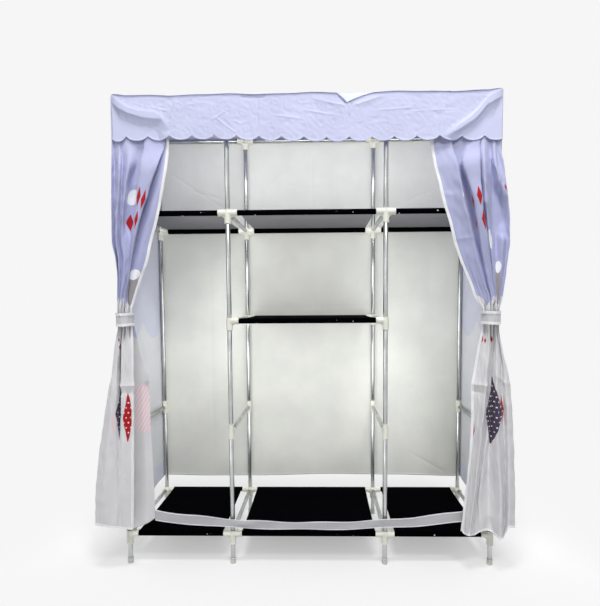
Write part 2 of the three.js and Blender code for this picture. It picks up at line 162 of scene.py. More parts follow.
class Net:
    """Small helpers to wire up one material's nodes."""

    def __init__(self, name):
        self.material = bpy.data.materials.new(name)
        self.material.use_nodes = True
        self.tree = self.material.node_tree
        self.shader = self.tree.nodes["Principled BSDF"]

    def put(self, socket, value):
        if isinstance(value, bpy.types.NodeSocket):
            self.tree.links.new(value, socket)
        else:
            socket.default_value = value

    def node(self, kind, values=None, **settings):
        """A new node with its settings, and with its sockets set or linked."""
        made = self.tree.nodes.new(kind)
        for key, value in settings.items():
            setattr(made, key, value)
        for key, value in (values or {}).items():
            self.put(made.inputs[key], value)
        return made

    def shade(self, values):
        """Sets or links the shader's own sockets."""
        for key, value in values.items():
            self.put(self.shader.inputs[key], value)

    def math(self, operation, first, second=0.0):
        return self.node("ShaderNodeMath", {0: first, 1: second, 2: 0.0}, operation=operation).outputs[0]

    plus = partialmethod(math, "ADD")
    minus = partialmethod(math, "SUBTRACT")
    times = partialmethod(math, "MULTIPLY")
    over = partialmethod(math, "DIVIDE")
    below = partialmethod(math, "LESS_THAN")
    above = partialmethod(math, "GREATER_THAN")

    def ramp(self, value, low, high):
        """0 below low, 1 above high, smooth between."""
        values = {"Value": value, "From Min": low, "From Max": high}
        return self.node("ShaderNodeMapRange", values, interpolation_type="SMOOTHSTEP").outputs["Result"]

    def mix(self, factor, first, second, blend="MIX"):
        first, second = [(*c, 1) if isinstance(c, tuple) else c for c in (first, second)]
        values = {"Factor": factor, 6: first, 7: second}
        return self.node("ShaderNodeMix", values, data_type="RGBA", blend_type=blend).outputs[2]

    def noise(self, vector, scale, detail=2.0, roughness=0.5):
        values = {"Vector": vector, "Scale": scale, "Detail": detail, "Roughness": roughness}
        return self.node("ShaderNodeTexNoise", values).outputs["Fac"]

    def bump(self, height, distance, strength=1.0, before=None):
        values = {"Strength": strength, "Distance": distance, "Height": height}
        if before is not None:
            values["Normal"] = before
        return self.node("ShaderNodeBump", values).outputs["Normal"]

    def flat_map(self):
        """The piece's own flat coordinates, in metres: (vector, across, along)."""
        vector = self.node("ShaderNodeUVMap", uv_map="flat").outputs["UV"]
        parts = self.node("ShaderNodeSeparateXYZ", {0: vector})
        return vector, parts.outputs[0], parts.outputs[1]

    def stretched(self, vector, across, along):
        values = {"Vector": vector, "Scale": (across, along, 1)}
        return self.node("ShaderNodeMapping", values).outputs["Vector"]

    def motif(self, u, v, place, size, pointed):
        """1 inside an upright diamond, or else inside an ellipse."""
        shares = []
        for axis, centre, half in zip((u, v), place, size):
            share = self.over(self.minus(axis, centre), half)
            shares.append(self.math("ABSOLUTE", share) if pointed else self.times(share, share))
        return self.below(self.plus(*shares), 1)

    def dots(self, u, v, pitch, radius):
        """1 inside small round dots on a staggered grid."""
        row = self.math("FLOOR", self.over(v, pitch))
        shift = self.times(self.math("PINGPONG", row, 1), pitch / 2)
        across = self.minus(self.math("WRAP", self.plus(u, shift), pitch), pitch / 2)
        along = self.minus(self.math("WRAP", v, pitch), pitch / 2)
        total = self.plus(self.times(across, across), self.times(along, along))
        return self.below(total, radius * radius)


# How large the mottling and the wrinkles are, as noise scales, and how high the threads stand
MOTTLE_SCALE = 7
WRINKLE_SCALE = 26
WEAVE_HEIGHT = 0.06 * MM


def cloth_finish(net, colour, roughness=0.82, sheen=0.25, relief=0.9 * MM, shine=0.3):
    """Gives a fabric its soft mottling, its crumpled surface and its fine embossed weave."""
    vector, u, v = net.flat_map()
    mottle = net.ramp(net.noise(vector, MOTTLE_SCALE, 4), 0.3, 0.7)
    shaded = net.mix(mottle, (0.93, 0.93, 0.94), (1.0, 1.0, 1.0))
    threads = [net.math("SINE", net.times(axis, FULL_TURN / WEAVE_PITCH)) for axis in (u, v)]
    wrinkles = net.noise(net.stretched(vector, 1, 0.55), WRINKLE_SCALE, 5, 0.55)
    normal = net.bump(wrinkles, relief * 3, 0.5)
    net.shade({
        "Base Color": net.mix(1.0, colour, shaded, "MULTIPLY"),
        "Roughness": roughness,
        "Sheen Weight": sheen,
        "Sheen Roughness": 0.4,
        "Specular IOR Level": shine,
        "Normal": net.bump(net.times(*threads), WEAVE_HEIGHT, 0.35, normal),
    })
    return net.material


def plain_cloth(name, colour, **finish):
    return cloth_finish(Net(name), colour, **finish)


# The print: lavender above, pale grey below a lobed border, with plain geometric motifs
PRINT_BORDER = 0.905
PRINT_LOBE = 0.12
PRINT_LOBE_RISE = 0.035
SKY_RANGE = (0.9, 1.6)
CURTAIN_WIDTH = 0.65
DOT_PITCH = 17 * MM
DOT_RADIUS = 2.6 * MM

# Motifs of the left curtain, then of the right one: place as (across from the inner edge, height), and
# half size. Across is counted from RIGHT_PRINT on for the right curtain
RIGHT_PRINT = 1.0
PATCH_GREY = srgb(158, 154, 158)
PRINT_SPOTS = (
    ((0.262, 1.278), (0.018, 0.026), BINDING_WHITE),
    ((0.05, 0.962), (0.048, 0.05), PATCH_GREY),
    ((0.045, 1.018), (0.032, 0.018), BINDING_WHITE),
    ((0.37, 0.52), (0.02, 0.034), MOTIF_PINK),
    ((1.115, 1.268), (0.022, 0.016), BINDING_WHITE),
    ((1.36, 1.125), (0.02, 0.032), BINDING_WHITE),
    ((1.42, 0.972), (0.034, 0.06), PATCH_GREY),
    ((1.425, 1.034), (0.024, 0.02), BINDING_WHITE),
)
PRINT_DIAMONDS = (
    ((0.182, 1.272), (0.013, 0.034)),
    ((0.151, 1.262), (0.013, 0.034)),
    ((0.262, 1.192), (0.013, 0.03)),
    ((0.17, 1.196), (0.016, 0.03)),
    ((0.38, 0.8), (0.03, 0.013)),
    ((0.33, 0.775), (0.024, 0.012)),
    ((1.205, 1.248), (0.014, 0.032)),
    ((1.243, 1.262), (0.011, 0.032)),
    ((1.254, 1.188), (0.013, 0.034)),
    ((1.2, 1.178), (0.014, 0.026)),
    ((1.505, 1.292), (0.012, 0.012)),
    ((1.04, 0.795), (0.014, 0.012)),
    ((1.08, 0.79), (0.014, 0.012)),
    ((1.2, 0.794), (0.03, 0.012)),
    ((1.03, 0.487), (0.014, 0.026)),
    ((1.43, 0.56), (0.028, 0.05)),
)
# Large dotted lozenges low down, where the folds make the cloth look narrow
PRINT_LOZENGES = (
    ((0.27, 0.55), (0.075, 0.095), MOTIF_PLUM),
    ((0.09, 0.535), (0.068, 0.088), MOTIF_RED),
    ((1.3, 0.555), (0.15, 0.115), MOTIF_PLUM),
)
DOT_STRETCH = 0.3


def lobed_border(net, u, lobe, height, rise):
    """The border's height: round lobes that rise from one line, or hang from it."""
    lobes = net.math("ABSOLUTE", net.math("SINE", net.times(u, math.pi / lobe)))
    return net.plus(height, net.times(lobes, rise))


def sky_above(net, v, border, deep, pale):
    sky = net.mix(net.ramp(v, *SKY_RANGE), deep, pale)
    return net.mix(net.above(v, border), LOW_GREY, sky)


def print_cloth(name, first):
    """One curtain's print; first is where its across count starts."""
    net = Net(name)
    _, flat_u, v = net.flat_map()
    u = net.plus(flat_u, first)
    border = lobed_border(net, u, PRINT_LOBE, PRINT_BORDER, PRINT_LOBE_RISE)
    colour = sky_above(net, v, border, PRINT_SKY_DEEP, PRINT_SKY)
    dots = net.dots(net.times(u, DOT_STRETCH), v, DOT_PITCH, DOT_RADIUS)
    diamonds = [(place, size, MOTIF_RED) for place, size in PRINT_DIAMONDS]
    for motifs, pointed in ((PRINT_SPOTS, False), (diamonds, True), (PRINT_LOZENGES, True)):
        for place, size, tint in motifs:
            if not first <= place[0] < first + CURTAIN_WIDTH:
                continue
            shape = net.motif(u, v, place, size, pointed)
            colour = net.mix(shape, colour, tint)
            if motifs is PRINT_LOZENGES:
                colour = net.mix(net.times(shape, dots), colour, BINDING_WHITE)
    return cloth_finish(net, colour)


# The side panels' own print: how far their border hangs lower, the blush band across the front returns
# with its slanting strokes, where the band fades in from the corner, and the patch low at the back
SIDE_BORDER_DROP = 0.055
BLUSH_LOW = 0.475
BLUSH_HIGH = 0.64
BLUSH_FADE = (0.025, 0.075)
STROKE_PITCH = 13 * MM
STROKE_WIDTH = STROKE_PITCH / 7
STROKE_SLANT = 0.6
PATCH_TOP = 0.235
PATCH_FRONT = 0.3


def side_print(name, reverse=0.0):
    """The cloth of the side panels. The print shows through on the reverse, only paler."""
    net = Net(name)
    _, u, v = net.flat_map()
    border = lobed_border(net, u, 2 * PRINT_LOBE, PRINT_BORDER - SIDE_BORDER_DROP, -2 * PRINT_LOBE_RISE)
    colour = sky_above(net, v, border, LAVENDER_DEEP, LAVENDER)
    strokes = net.math("WRAP", net.plus(u, net.times(v, STROKE_SLANT)), STROKE_PITCH)
    blush = net.mix(net.below(strokes, STROKE_WIDTH), MOTIF_PINK, BINDING_WHITE)
    band = net.times(net.above(v, BLUSH_LOW), net.below(v, BLUSH_HIGH))
    on_return = net.ramp(net.times(u, -1.0), *BLUSH_FADE)
    colour = net.mix(net.times(band, on_return), colour, blush)
    patch = net.times(net.below(v, PATCH_TOP), net.above(u, PATCH_FRONT))
    colour = net.mix(patch, colour, LAVENDER)
    return cloth_finish(net, net.mix(reverse, colour, REVERSE_PALE))


SPECK_SCALE = 55
SPECK_SIZE = 0.13
SPECKLED_HEM = 55 * MM


def black_cloth(name):
    """The outside of the shelves: black, with pale specks along the hems."""
    net = Net(name)
    vector, _, v = net.flat_map()
    specks = net.node("ShaderNodeTexVoronoi", {"Vector": vector, "Scale": SPECK_SCALE}, feature="F1")
    small = net.below(specks.outputs["Distance"], SPECK_SIZE)
    rare = net.above(net.noise(vector, 21), 0.5)
    shown = net.times(net.times(small, rare), net.below(v, SPECKLED_HEM))
    colour = net.mix(shown, SHELF_BLACK, SPECK_WHITE)
    return cloth_finish(net, colour, roughness=1.0, sheen=0.0, relief=0.5 * MM, shine=0.01)


def steel_material(name):
    """Plated steel tube: bright, with faint drawing marks along its length."""
    net = Net(name)
    vector, _, _ = net.flat_map()
    marks = net.noise(net.stretched(vector, 900, 9), 1, 3)
    cloudy = net.ramp(net.noise(vector, 14, 3), 0.35, 0.7)
    net.shade({
        "Base Color": net.mix(cloudy, STEEL_DULL, STEEL),
        "Metallic": 1.0,
        "Roughness": net.plus(0.2, net.times(marks, 0.14)),
        "Normal": net.bump(marks, 0.05 * MM, 0.3),
    })
    return net.material


def plastic_material(name, colour, roughness):
    """Moulded plastic with a faint orange-peel skin."""
    net = Net(name)
    vector = net.node("ShaderNodeTexCoord").outputs["Object"]
    tone = net.ramp(net.noise(vector, 30, 3), 0.3, 0.7)
    net.shade({
        "Base Color": net.mix(tone, tuple(0.94 * c for c in colour), colour),
        "Roughness": roughness,
        "Specular IOR Level": 0.45,
        "Subsurface Weight": 0.08,
        "Subsurface Radius": (2 * MM, 2 * MM, 1.6 * MM),
        "Normal": net.bump(net.noise(vector, 700, 2), 0.08 * MM, 0.25),
    })
    return net.material


steel = steel_material("plated_steel")
ivory = plastic_material("ivory_plastic", IVORY, 0.42)
cap_ivory = plastic_material("foot_plastic", CAP_IVORY, 0.5)
lavender = plain_cloth("lavender_cloth", LAVENDER, relief=1.1 * MM)
printed_left = print_cloth("printed_cloth_left", 0.0)
printed_right = print_cloth("printed_cloth_right", RIGHT_PRINT)
side_printed = side_print("side_panel_cloth")
side_reverse = side_print("side_panel_reverse", 0.62)
off_white = plain_cloth("off_white_cloth", OFF_WHITE, relief=0.8 * MM)
strip_grey = plain_cloth("grey_cloth", STRIP_GREY)
tie_grey = plain_cloth("tie_cloth", TIE_GREY)
white = plain_cloth("white_binding", BINDING_WHITE, relief=0.3 * MM)
black = black_cloth("black_cloth")
shelf_under = plain_cloth("shelf_underside", SHELF_UNDER, sheen=0.0, relief=0.4 * MM)


# Meshes

def make_object(name, vertices, faces, materials, flat=None, chosen=None, sharp=None):
    """An object from arrays; flat holds each vertex's place on the flat cloth or round the tube."""
    mesh = bpy.data.meshes.new(name)
    mesh.from_pydata(np.asarray(vertices).tolist(), [], np.asarray(faces).tolist())
    mesh.polygons.foreach_set("use_smooth", [True] * len(mesh.polygons))
    if flat is not None:
        layer = mesh.uv_layers.new(name="flat")
        index = np.zeros(len(mesh.loops), np.int32)
        mesh.loops.foreach_get("vertex_index", index)
        layer.data.foreach_set("uv", np.asarray(flat, np.float32)[index].ravel())
    for made in materials:
        mesh.materials.append(made)
    if chosen is not None:
        mesh.polygons.foreach_set("material_index", np.asarray(chosen, np.int32))
    mesh.update()
    if sharp is not None:
        mesh.set_sharp_from_angle(angle=math.radians(sharp))
    made = bpy.data.objects.new(name, mesh)
    bpy.context.scene.collection.objects.link(made)
    return made


def unit(vectors):
    lengths = np.linalg.norm(vectors, axis=-1, keepdims=True)
    return vectors / np.maximum(lengths, 1e-12)


def both_sides(grid, normal, thickness):
    """The points of a sheet's front, and then those of its back."""
    step = normal * thickness / 2
    return np.concatenate([(grid + step).reshape(-1, 3), (grid - step).reshape(-1, 3)])


def cloth(name, grid, flat, materials, thickness=CLOTH):
    """A closed sheet round a grid of points: rows run down the cloth and columns across it."""
    normal = unit(np.cross(np.gradient(grid, axis=0), np.gradient(grid, axis=1)))
    place = np.arange(grid[:, :, 0].size).reshape(grid.shape[:2])
    corners = (place[:-1, :-1], place[1:, :-1], place[1:, 1:], place[:-1, 1:])
    fronts = np.stack([corner.ravel() for corner in corners], axis=1)
    faces = [fronts, fronts[:, ::-1] + place.size]
    for line in (place[::-1, 0], place[:, -1], place[0], place[-1, ::-1]):
        hidden = line + place.size
        faces.append(np.stack([line[:-1], line[1:], hidden[1:], hidden[:-1]], axis=1))
    faces = np.concatenate(faces)
    chosen = np.zeros(len(faces))
    chosen[len(fronts):2 * len(fronts)] = len(materials) - 1
    both = np.concatenate([flat.reshape(-1, 2)] * 2)
    return make_object(name, both_sides(grid, normal, thickness), faces, materials, both, chosen)


def smooth_step(value, low, high):
    share = np.clip((value - low) / (high - low), 0, 1)
    return share * share * (3 - 2 * share)


def crumple(u, v, seed, waves, shortest, longest, lean=0.0):
    """Soft random wrinkles of about unit height over flat coordinates, always the same for one seed."""
    random = np.random.default_rng(seed)
    total = np.zeros(np.broadcast(u, v).shape)
    for _ in range(waves):
        length = shortest * (longest / shortest) ** random.random()
        angle = lean + random.normal(0, 0.9)
        phase = random.random() * FULL_TURN
        drift = 0.6 * np.sin(FULL_TURN * (u * 0.9 + v * 1.3) / (longest * 2) + phase)
        total = total + np.sin(
            FULL_TURN * (u * math.cos(angle) + v * math.sin(angle)) / length + phase + drift
        )
    return total / math.sqrt(waves)


def crease(u, v, start, end, width):
    """A ridge of unit height along the line from start to end that fades at both ends."""
    along = np.array(end) - np.array(start)
    length = float(np.hypot(*along))
    along = along / length
    du, dv = u - start[0], v - start[1]
    position = (du * along[0] + dv * along[1]) / length
    offset = du * along[1] - dv * along[0]
    ends = smooth_step(position, -0.08, 0.15) * (1 - smooth_step(position, 0.8, 1.08))
    return ends * np.exp(-np.abs(offset) / width)


def creased(u, v, lines):
    """The height that creases give, each set by its start, end, width and own height."""
    return sum(height * crease(u, v, start, end, width) for start, end, width, height in lines)


def dress(made, body, node=None):
    """Says what a piece rides on, where one is given, and hides the node that it replaces."""
    if body:
        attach(made, body)
    if node:
        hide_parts(node)


# Tubes, caps and connectors

def turned(profile, sides, closed=True):
    """Vertices, faces and flat places of a profile of (radius, height) points turned round Z."""
    points = np.array(profile)
    count = len(points)
    angles = np.arange(sides) * FULL_TURN / sides
    ring = np.stack([np.cos(angles), np.sin(angles)], axis=1)
    vertices = np.zeros((sides, count, 3))
    vertices[:, :, :2] = ring[:, None, :] * points[None, :, :1]
    vertices[:, :, 2] = points[None, :, 1]
    flat = np.zeros((sides, count, 2))
    flat[:, :, 0] = (np.minimum(angles, FULL_TURN - angles) * TUBE_RADIUS)[:, None]
    flat[:, :, 1] = points[None, :, 1]
    faces = []
    for side in range(sides):
        after = (side + 1) % sides
        for i in range(count if closed else count - 1):
            j = (i + 1) % count
            faces.append((side * count + i, after * count + i, after * count + j, side * count + j))
    return vertices.reshape(-1, 3), np.array(faces), flat.reshape(-1, 2)


def tube_parts(start, end):
    """One steel tube between two points, open at both ends."""
    start, end = Vector(start), Vector(end)
    length = (end - start).length
    bore = TUBE_RADIUS - TUBE_WALL
    profile = [
        (bore, 0), (TUBE_RADIUS - TUBE_EASE, 0), (TUBE_RADIUS, TUBE_EASE),
        (TUBE_RADIUS, length - TUBE_EASE), (TUBE_RADIUS - TUBE_EASE, length), (bore, length),
    ]
    vertices, faces, flat = turned(profile, TUBE_SIDES)
    turn = (end - start).to_track_quat("Z", "Y").to_matrix()
    return vertices @ np.array(turn).T + np.array(start), faces, flat


def add_tubes(name, spans, node):
    """One object holding the tube lengths that lie in one line."""
    vertices, faces, flats, total = [], [], [], 0
    for start, end in spans:
        v, f, uv = tube_parts(start, end)
        vertices.append(v)
        faces.append(f + total)
        flats.append(uv)
        total += len(v)
    made = make_object(
        name, np.concatenate(vertices), np.concatenate(faces), [steel], np.concatenate(flats), sharp=50
    )
    dress(made, "frame", node)


def foot_cap(name, x, y):
    """A moulded cap with a rounded sole and a rolled top edge."""
    inner = TUBE_RADIUS + SOCKET_GAP
    profile = [(0, CAP_FLOOR), (0, 0)]
    for angle in np.linspace(0, math.pi / 2, CAP_ARC_POINTS):
        reach = CAP_RADIUS - CAP_EDGE * (1 - math.sin(angle))
        profile.append((reach, CAP_EDGE * (1 - math.cos(angle))))
    profile += [
        (CAP_RADIUS - 0.5 * MM, 8 * MM), (CAP_RADIUS - 0.6 * MM, CAP_HEIGHT - 5 * MM),
        (CAP_RADIUS, CAP_HEIGHT - 4 * MM), (CAP_RADIUS, CAP_HEIGHT - 0.8 * MM),
        (CAP_RADIUS - 0.8 * MM, CAP_HEIGHT), (inner, CAP_HEIGHT), (inner, CAP_FLOOR),
    ]
    vertices, faces, flat = turned(profile, CAP_SIDES)
    made = make_object(name, vertices + np.array([x, y, 0]), faces, [cap_ivory], flat, sharp=40)
    clean = bmesh.new()
    clean.from_mesh(made.data)
    bmesh.ops.remove_doubles(clean, verts=clean.verts, dist=0.01 * MM)
    clean.to_mesh(made.data)
    clean.free()
    dress(made, "frame")


def round_bar(axis, low, high, radius, sides=36):
    """A closed rod along one axis through the origin."""
    vertices, faces, _ = turned([(0, low), (radius, low), (radius, high), (0, high)], sides, False)
    order = {"z": [0, 1, 2], "x": [2, 0, 1], "y": [1, 2, 0]}[axis]
    return vertices[:, order], faces


def web(axis, reach, drop, thickness):
    """A stiffening web in the corner between the stem and an arm."""
    sign = 1 if reach > 0 else -1
    inner = sign * TUBE_RADIUS
    tip = reach - sign * WEB_INSET
    corners = [
        (inner, -TUBE_RADIUS), (tip, -TUBE_RADIUS),
        (tip, -HUB_RADIUS - WEB_TIP), (inner, -drop + WEB_LIFT),
    ]
    vertices = []
    for offset in (-thickness / 2, thickness / 2):
        for along, height in corners:
            vertices.append((along, offset, height) if axis == "x" else (offset, along, height))
    faces = [(0, 1, 2, 3), (7, 6, 5, 4)]
    faces += [(i, i + 4, (i + 1) % 4 + 4, (i + 1) % 4) for i in range(4)]
    return np.array(vertices), np.array(faces)


def shell_object(name, shells):
    """Several closed shells in one object, with all faces turned outwards."""
    work = bmesh.new()
    for vertices, faces in shells:
        made = [work.verts.new(point) for point in vertices]
        for face in faces:
            work.faces.new([made[i] for i in face])
    bmesh.ops.remove_doubles(work, verts=work.verts, dist=MERGE_DISTANCE)
    bmesh.ops.dissolve_degenerate(work, edges=work.edges, dist=MERGE_DISTANCE)
    bmesh.ops.recalc_face_normals(work, faces=work.faces)
    mesh = bpy.data.meshes.new(name)
    work.to_mesh(mesh)
    work.free()
    made = bpy.data.objects.new(name, mesh)
    bpy.context.scene.collection.objects.link(made)
    return made


def collared(axis, low, high, radius):
    """An arm from low to high, where low is the mouth, with a raised collar at the mouth."""
    step = math.copysign(COLLAR_WIDTH, high - low)
    arm = round_bar(axis, *sorted((low, high)), radius)
    return [arm, round_bar(axis, *sorted((low, low + step)), radius + COLLAR_RISE)]


def connector_mesh(style, arms):
    """A moulded connector of the front row: its hub on Z, its side arms on X, its back arm on +Y."""
    brace = style == "brace"
    radius = BRACE_RADIUS if brace else HUB_RADIUS
    bore = TUBE_RADIUS + SOCKET_GAP
    stem = {"brace": BRACE_HALF_HEIGHT, "mid": MID_STEM_LENGTH}.get(style, STEM_LENGTH)
    top = BRACE_HALF_HEIGHT if brace else HUB_RADIUS
    back = BRACE_ARM_LENGTH if brace else ARM_LENGTH
    stem_bar, stem_collar = collared("z", -stem, top, radius)
    back_bar, back_collar = collared("y", back, -radius * 0.2, radius)
    solids = [stem_bar, back_bar, stem_collar, back_collar]
    if brace:
        solids.append(round_bar("z", top - COLLAR_WIDTH, top, radius + COLLAR_RISE))
    else:
        solids.append(web("y", back * WEB_SHARE, WEB_DROP, WEB_THICKNESS))
    bores = [round_bar("y", TUBE_RADIUS, back * 2, bore)]
    for arm in arms:
        solids += collared("x", arm * ARM_LENGTH, 0, radius)
        solids.append(web("x", arm * ARM_LENGTH * WEB_SHARE, WEB_DROP, WEB_THICKNESS))
        bores.append(round_bar("x", *sorted((arm * TUBE_RADIUS, arm * ARM_LENGTH * 2)), bore))
    bores.append(round_bar("z", -stem * 2, 0 if style == "roof" else top * 3, bore))
    body = shell_object("connector_work", [solids[0]])
    for operation, shells in (("UNION", solids[1:]), ("DIFFERENCE", bores)):
        for shell in shells:
            tool = shell_object("tool_work", [shell])
            cut = body.modifiers.new("cut", "BOOLEAN")
            cut.operation = operation
            cut.solver = "MANIFOLD"
            cut.object = tool
            graph = bpy.context.evaluated_depsgraph_get()
            mesh = bpy.data.meshes.new_from_object(body.evaluated_get(graph))
            body.modifiers.clear()
            body.data = mesh
            bpy.data.objects.remove(tool)
    mesh = body.data
    bpy.data.objects.remove(body)
    return mesh


connector_meshes = {}


def add_connector(name, style, arms, row_turn, place):
    """Rear connectors are front ones turned half round, so their arms swap sides."""
    kept = tuple(sorted(arm * row_turn for arm in arms))
    key = (style, kept)
    if key not in connector_meshes:
        connector_meshes[key] = connector_mesh(style, kept)
    mesh = connector_meshes[key].copy()
    if row_turn < 0:
        mesh.transform(Matrix.Rotation(math.pi, 4, "Z"))
    mesh.transform(Matrix.Translation(place))
    mesh.materials.clear()
    mesh.materials.append(ivory)
    mesh.polygons.foreach_set("use_smooth", [True] * len(mesh.polygons))
    mesh.set_sharp_from_angle(angle=math.radians(32))
    made = bpy.data.objects.new(name, mesh)
    bpy.context.scene.collection.objects.link(made)
    dress(made, "frame")


TIERS = (
    ("base", (0, 1, 2, 3), True),
    ("brace", (0, 1, 2, 3), False),
    ("mid", (1, 2), True),
    ("top", (0, 1, 2, 3), True),
    ("roof", (0, 1, 2, 3), True),
)

for row, y, _ in ROWS:
    for i, x in enumerate(POST_X):
        levels = [LEVELS[tier] for tier, posts, _ in TIERS if i in posts]
        lows = [POST_FOOT, *[level + TUBE_END_GAP for level in levels[:-1]]]
        spans = [((x, y, low), (x, y, level - TUBE_END_GAP)) for low, level in zip(lows, levels)]
        add_tubes(f"tubes_post_{row}_{i + 1}", spans, f"post_{row}_{i + 1}")
        foot_cap(f"foot_cap_{row}_{i + 1}", x, y)

for tier, posts, rails in TIERS:
    z = LEVELS[tier]
    for i in posts:
        x = POST_X[i]
        arms = [arm for arm, end in ((-1, posts[0]), (1, posts[-1])) if rails and i != end]
        span = ((x, FRONT_Y + INNER_STOP, z), (x, REAR_Y - INNER_STOP, z))
        add_tubes(f"tube_depth_{tier}_{i + 1}", [span], f"crossbar_{tier}_{i + 1}")
        for row, y, inward in ROWS:
            add_connector(f"connector_{tier}_{row}_{i + 1}", tier, arms, inward, (x, y, z))
    if not rails:
        continue
    for row, y, _ in ROWS:
        spans = [
            ((POST_X[i] + INNER_STOP, y, z), (POST_X[i + 1] - INNER_STOP, y, z)) for i in posts[:-1]
        ]
        if tier == "mid":
            add_tubes(f"tube_mid_{row}", spans, f"rail_mid_{row}")
        elif tier == "roof":
            add_tubes(f"tubes_roof_{row}", spans, f"rail_roof_{row}")
        else:
            for bay, span in zip(BAYS, spans):
                add_tubes(f"tube_{tier}_{row}_{bay}", [span], f"rail_{tier}_{row}_{bay}")


# Fabric shelves: one sheet whose ends are sewn back round the two rails as sleeves

SLEEVE_RADIUS = 8.85 * MM
SEAM_ALLOWANCE = 20 * MM
SEAM_TUCK = 1.7 * MM
SLEEVE_CLOSE = math.radians(62)
SLEEVE_EASE = 0.45 * MM
SHELF_SAG = 3.5 * MM
SHELF_WRINKLES = 0.5 * MM
SLEEVE_POINTS = 40
FLAT_POINTS = 70
SHELF_COLUMNS = 90


def shelf_profile(z):
    """The sheet's route from the front sleeve's seam, round the rail, back along the top to the rear."""
    tuck = SLEEVE_RADIUS - SEAM_TUCK
    front = [(FRONT_Y + SEAM_ALLOWANCE, z + tuck), (FRONT_Y + SEAM_ALLOWANCE / 2, z + tuck)]
    for angle in np.linspace(FULL_TURN + SLEEVE_CLOSE, math.pi / 2, SLEEVE_POINTS + 1):
        front.append((FRONT_Y + SLEEVE_RADIUS * math.cos(angle), z + SLEEVE_RADIUS * math.sin(angle)))
    flat = [(y, z + SLEEVE_RADIUS) for y in np.linspace(FRONT_Y, REAR_Y, FLAT_POINTS + 1)[1:-1]]
    rear = [(FRONT_Y + REAR_Y - y, height) for y, height in reversed(front)]
    return np.array(front + flat + rear)


def add_shelf(name, node, seed):
    low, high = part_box(node)
    profile = shelf_profile(high.z - SLEEVE_RADIUS - SLEEVE_EASE)
    x = np.linspace(high.x, low.x, SHELF_COLUMNS)
    gx = np.broadcast_to(x, (len(profile), SHELF_COLUMNS))
    gy, gz = [np.broadcast_to(profile[:, axis, None], gx.shape) for axis in (0, 1)]
    steps = np.linalg.norm(np.diff(profile, axis=0), axis=1)
    along = np.concatenate([[0], np.cumsum(steps)])
    depth = np.clip((gy - FRONT_Y) / (REAR_Y - FRONT_Y), 0, 1)
    width = (gx - low.x) / (high.x - low.x)
    on_top = np.zeros((len(profile), 1))
    sleeve = SLEEVE_POINTS + 3
    on_top[sleeve:len(profile) - sleeve] = 1
    sag = np.sin(math.pi * depth) ** 0.8 * (0.75 + 0.25 * np.sin(math.pi * width))
    wrinkles = crumple(gx, gy, seed, 14, 0.05, 0.22)
    dips = SHELF_SAG * sag - SHELF_WRINKLES * wrinkles * np.sin(math.pi * depth)
    grid = np.stack([gx, gy, gz - dips * on_top], axis=2)
    flat = np.stack([gx, np.broadcast_to(along[:, None], gx.shape)], axis=2)
    made = cloth(name, grid, flat, [black, shelf_under])
    dress(made, "frame", node)


for level, bays in (("base", BAYS), ("top", BAYS), ("mid", ("",))):
    for bay in bays:
        tail = f"{level}_{bay}" if bay else level
        rails = [f"rail_{level}_{row}" + (f"_{bay}" if bay else "") for row, _, _ in ROWS]
        add_shelf(f"fabric_shelf_{tail}", f"shelf_{tail}", seed=len(tail) + len(bay) * 7)


# The cover. Along the front everything is set out from the side face of the cover and from two planes:
# the back of the curtains, and the face of the valance

CURTAIN_BACK = FRONT_LAYER - 0.9 * MM
VALANCE_BACK_CORNER = CURTAIN_BACK - 1.4 * MM
VALANCE_CORNER = 45 * MM
VALANCE_EDGE_DROP = 9 * MM
VALANCE_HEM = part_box("valance")[0].z
SCALLOP_PITCH = 74 * MM
FIRST_SCALLOP = 50 * MM
SCALLOP_DEPTH = 15 * MM
DIP_X = 0.144
DIP_DEPTH = 31 * MM
DIP_LEFT = 0.036
DIP_RIGHT = 0.088
# How far the hem has shrunk up, by place along the front
HEM_RISE_X = (-0.642, -0.58, -0.3, -0.05, 0.08, 0.64)
HEM_RISE = (0.009, 0.013, 0.012, 0.004, 0.0, 0.0)
VALANCE_COLUMNS = 900
VALANCE_ROWS = 90


def valance_face(x):
    """The valance's front in plan: straight, with rounded corners that come back to the side panels."""
    from_end = np.maximum(np.minimum(x - COVER_LEFT, COVER_RIGHT - x), 0)
    share = np.clip(1 - from_end / VALANCE_CORNER, 0, 1)
    reach = np.sqrt(np.maximum(1 - share * share, 0))
    return VALANCE_BACK_CORNER + (VALANCE_FACE - VALANCE_BACK_CORNER) * reach


def roof_edge_height(x):
    """The seam between roof and valance sags below the roof tubes and dips in one pinched fold."""
    away = np.where(x < DIP_X, (DIP_X - x) / DIP_LEFT, (x - DIP_X) / DIP_RIGHT)
    dip = np.clip(1 - away, 0, 1) ** 1.3
    ripple = np.sin(x * 21 + 1) * 1.6 * MM + np.sin(x * 47) * 0.8 * MM
    corners = smooth_step(np.minimum(x - COVER_LEFT, COVER_RIGHT - x), 0, 0.06)
    return ROOF_UNDER - VALANCE_EDGE_DROP * corners - DIP_DEPTH * dip + ripple * corners


def scallop_hem(x):
    """Height above the lowest hem line: round lobes that meet in points."""
    from_left = x - COVER_LEFT
    share = np.where(
        from_left < FIRST_SCALLOP, from_left / FIRST_SCALLOP,
        ((from_left - FIRST_SCALLOP) / SCALLOP_PITCH) % 1.0,
    )
    return SCALLOP_DEPTH * np.abs(2 * share - 1) ** 2.4 + np.interp(x, HEM_RISE_X, HEM_RISE)


ROOF_SAG = 9 * MM
ROOF_WRINKLES = 0.7 * MM
ROOF_CREASE = 1.5 * MM
ROOF_COLUMNS = 420
ROOF_ROWS = 170


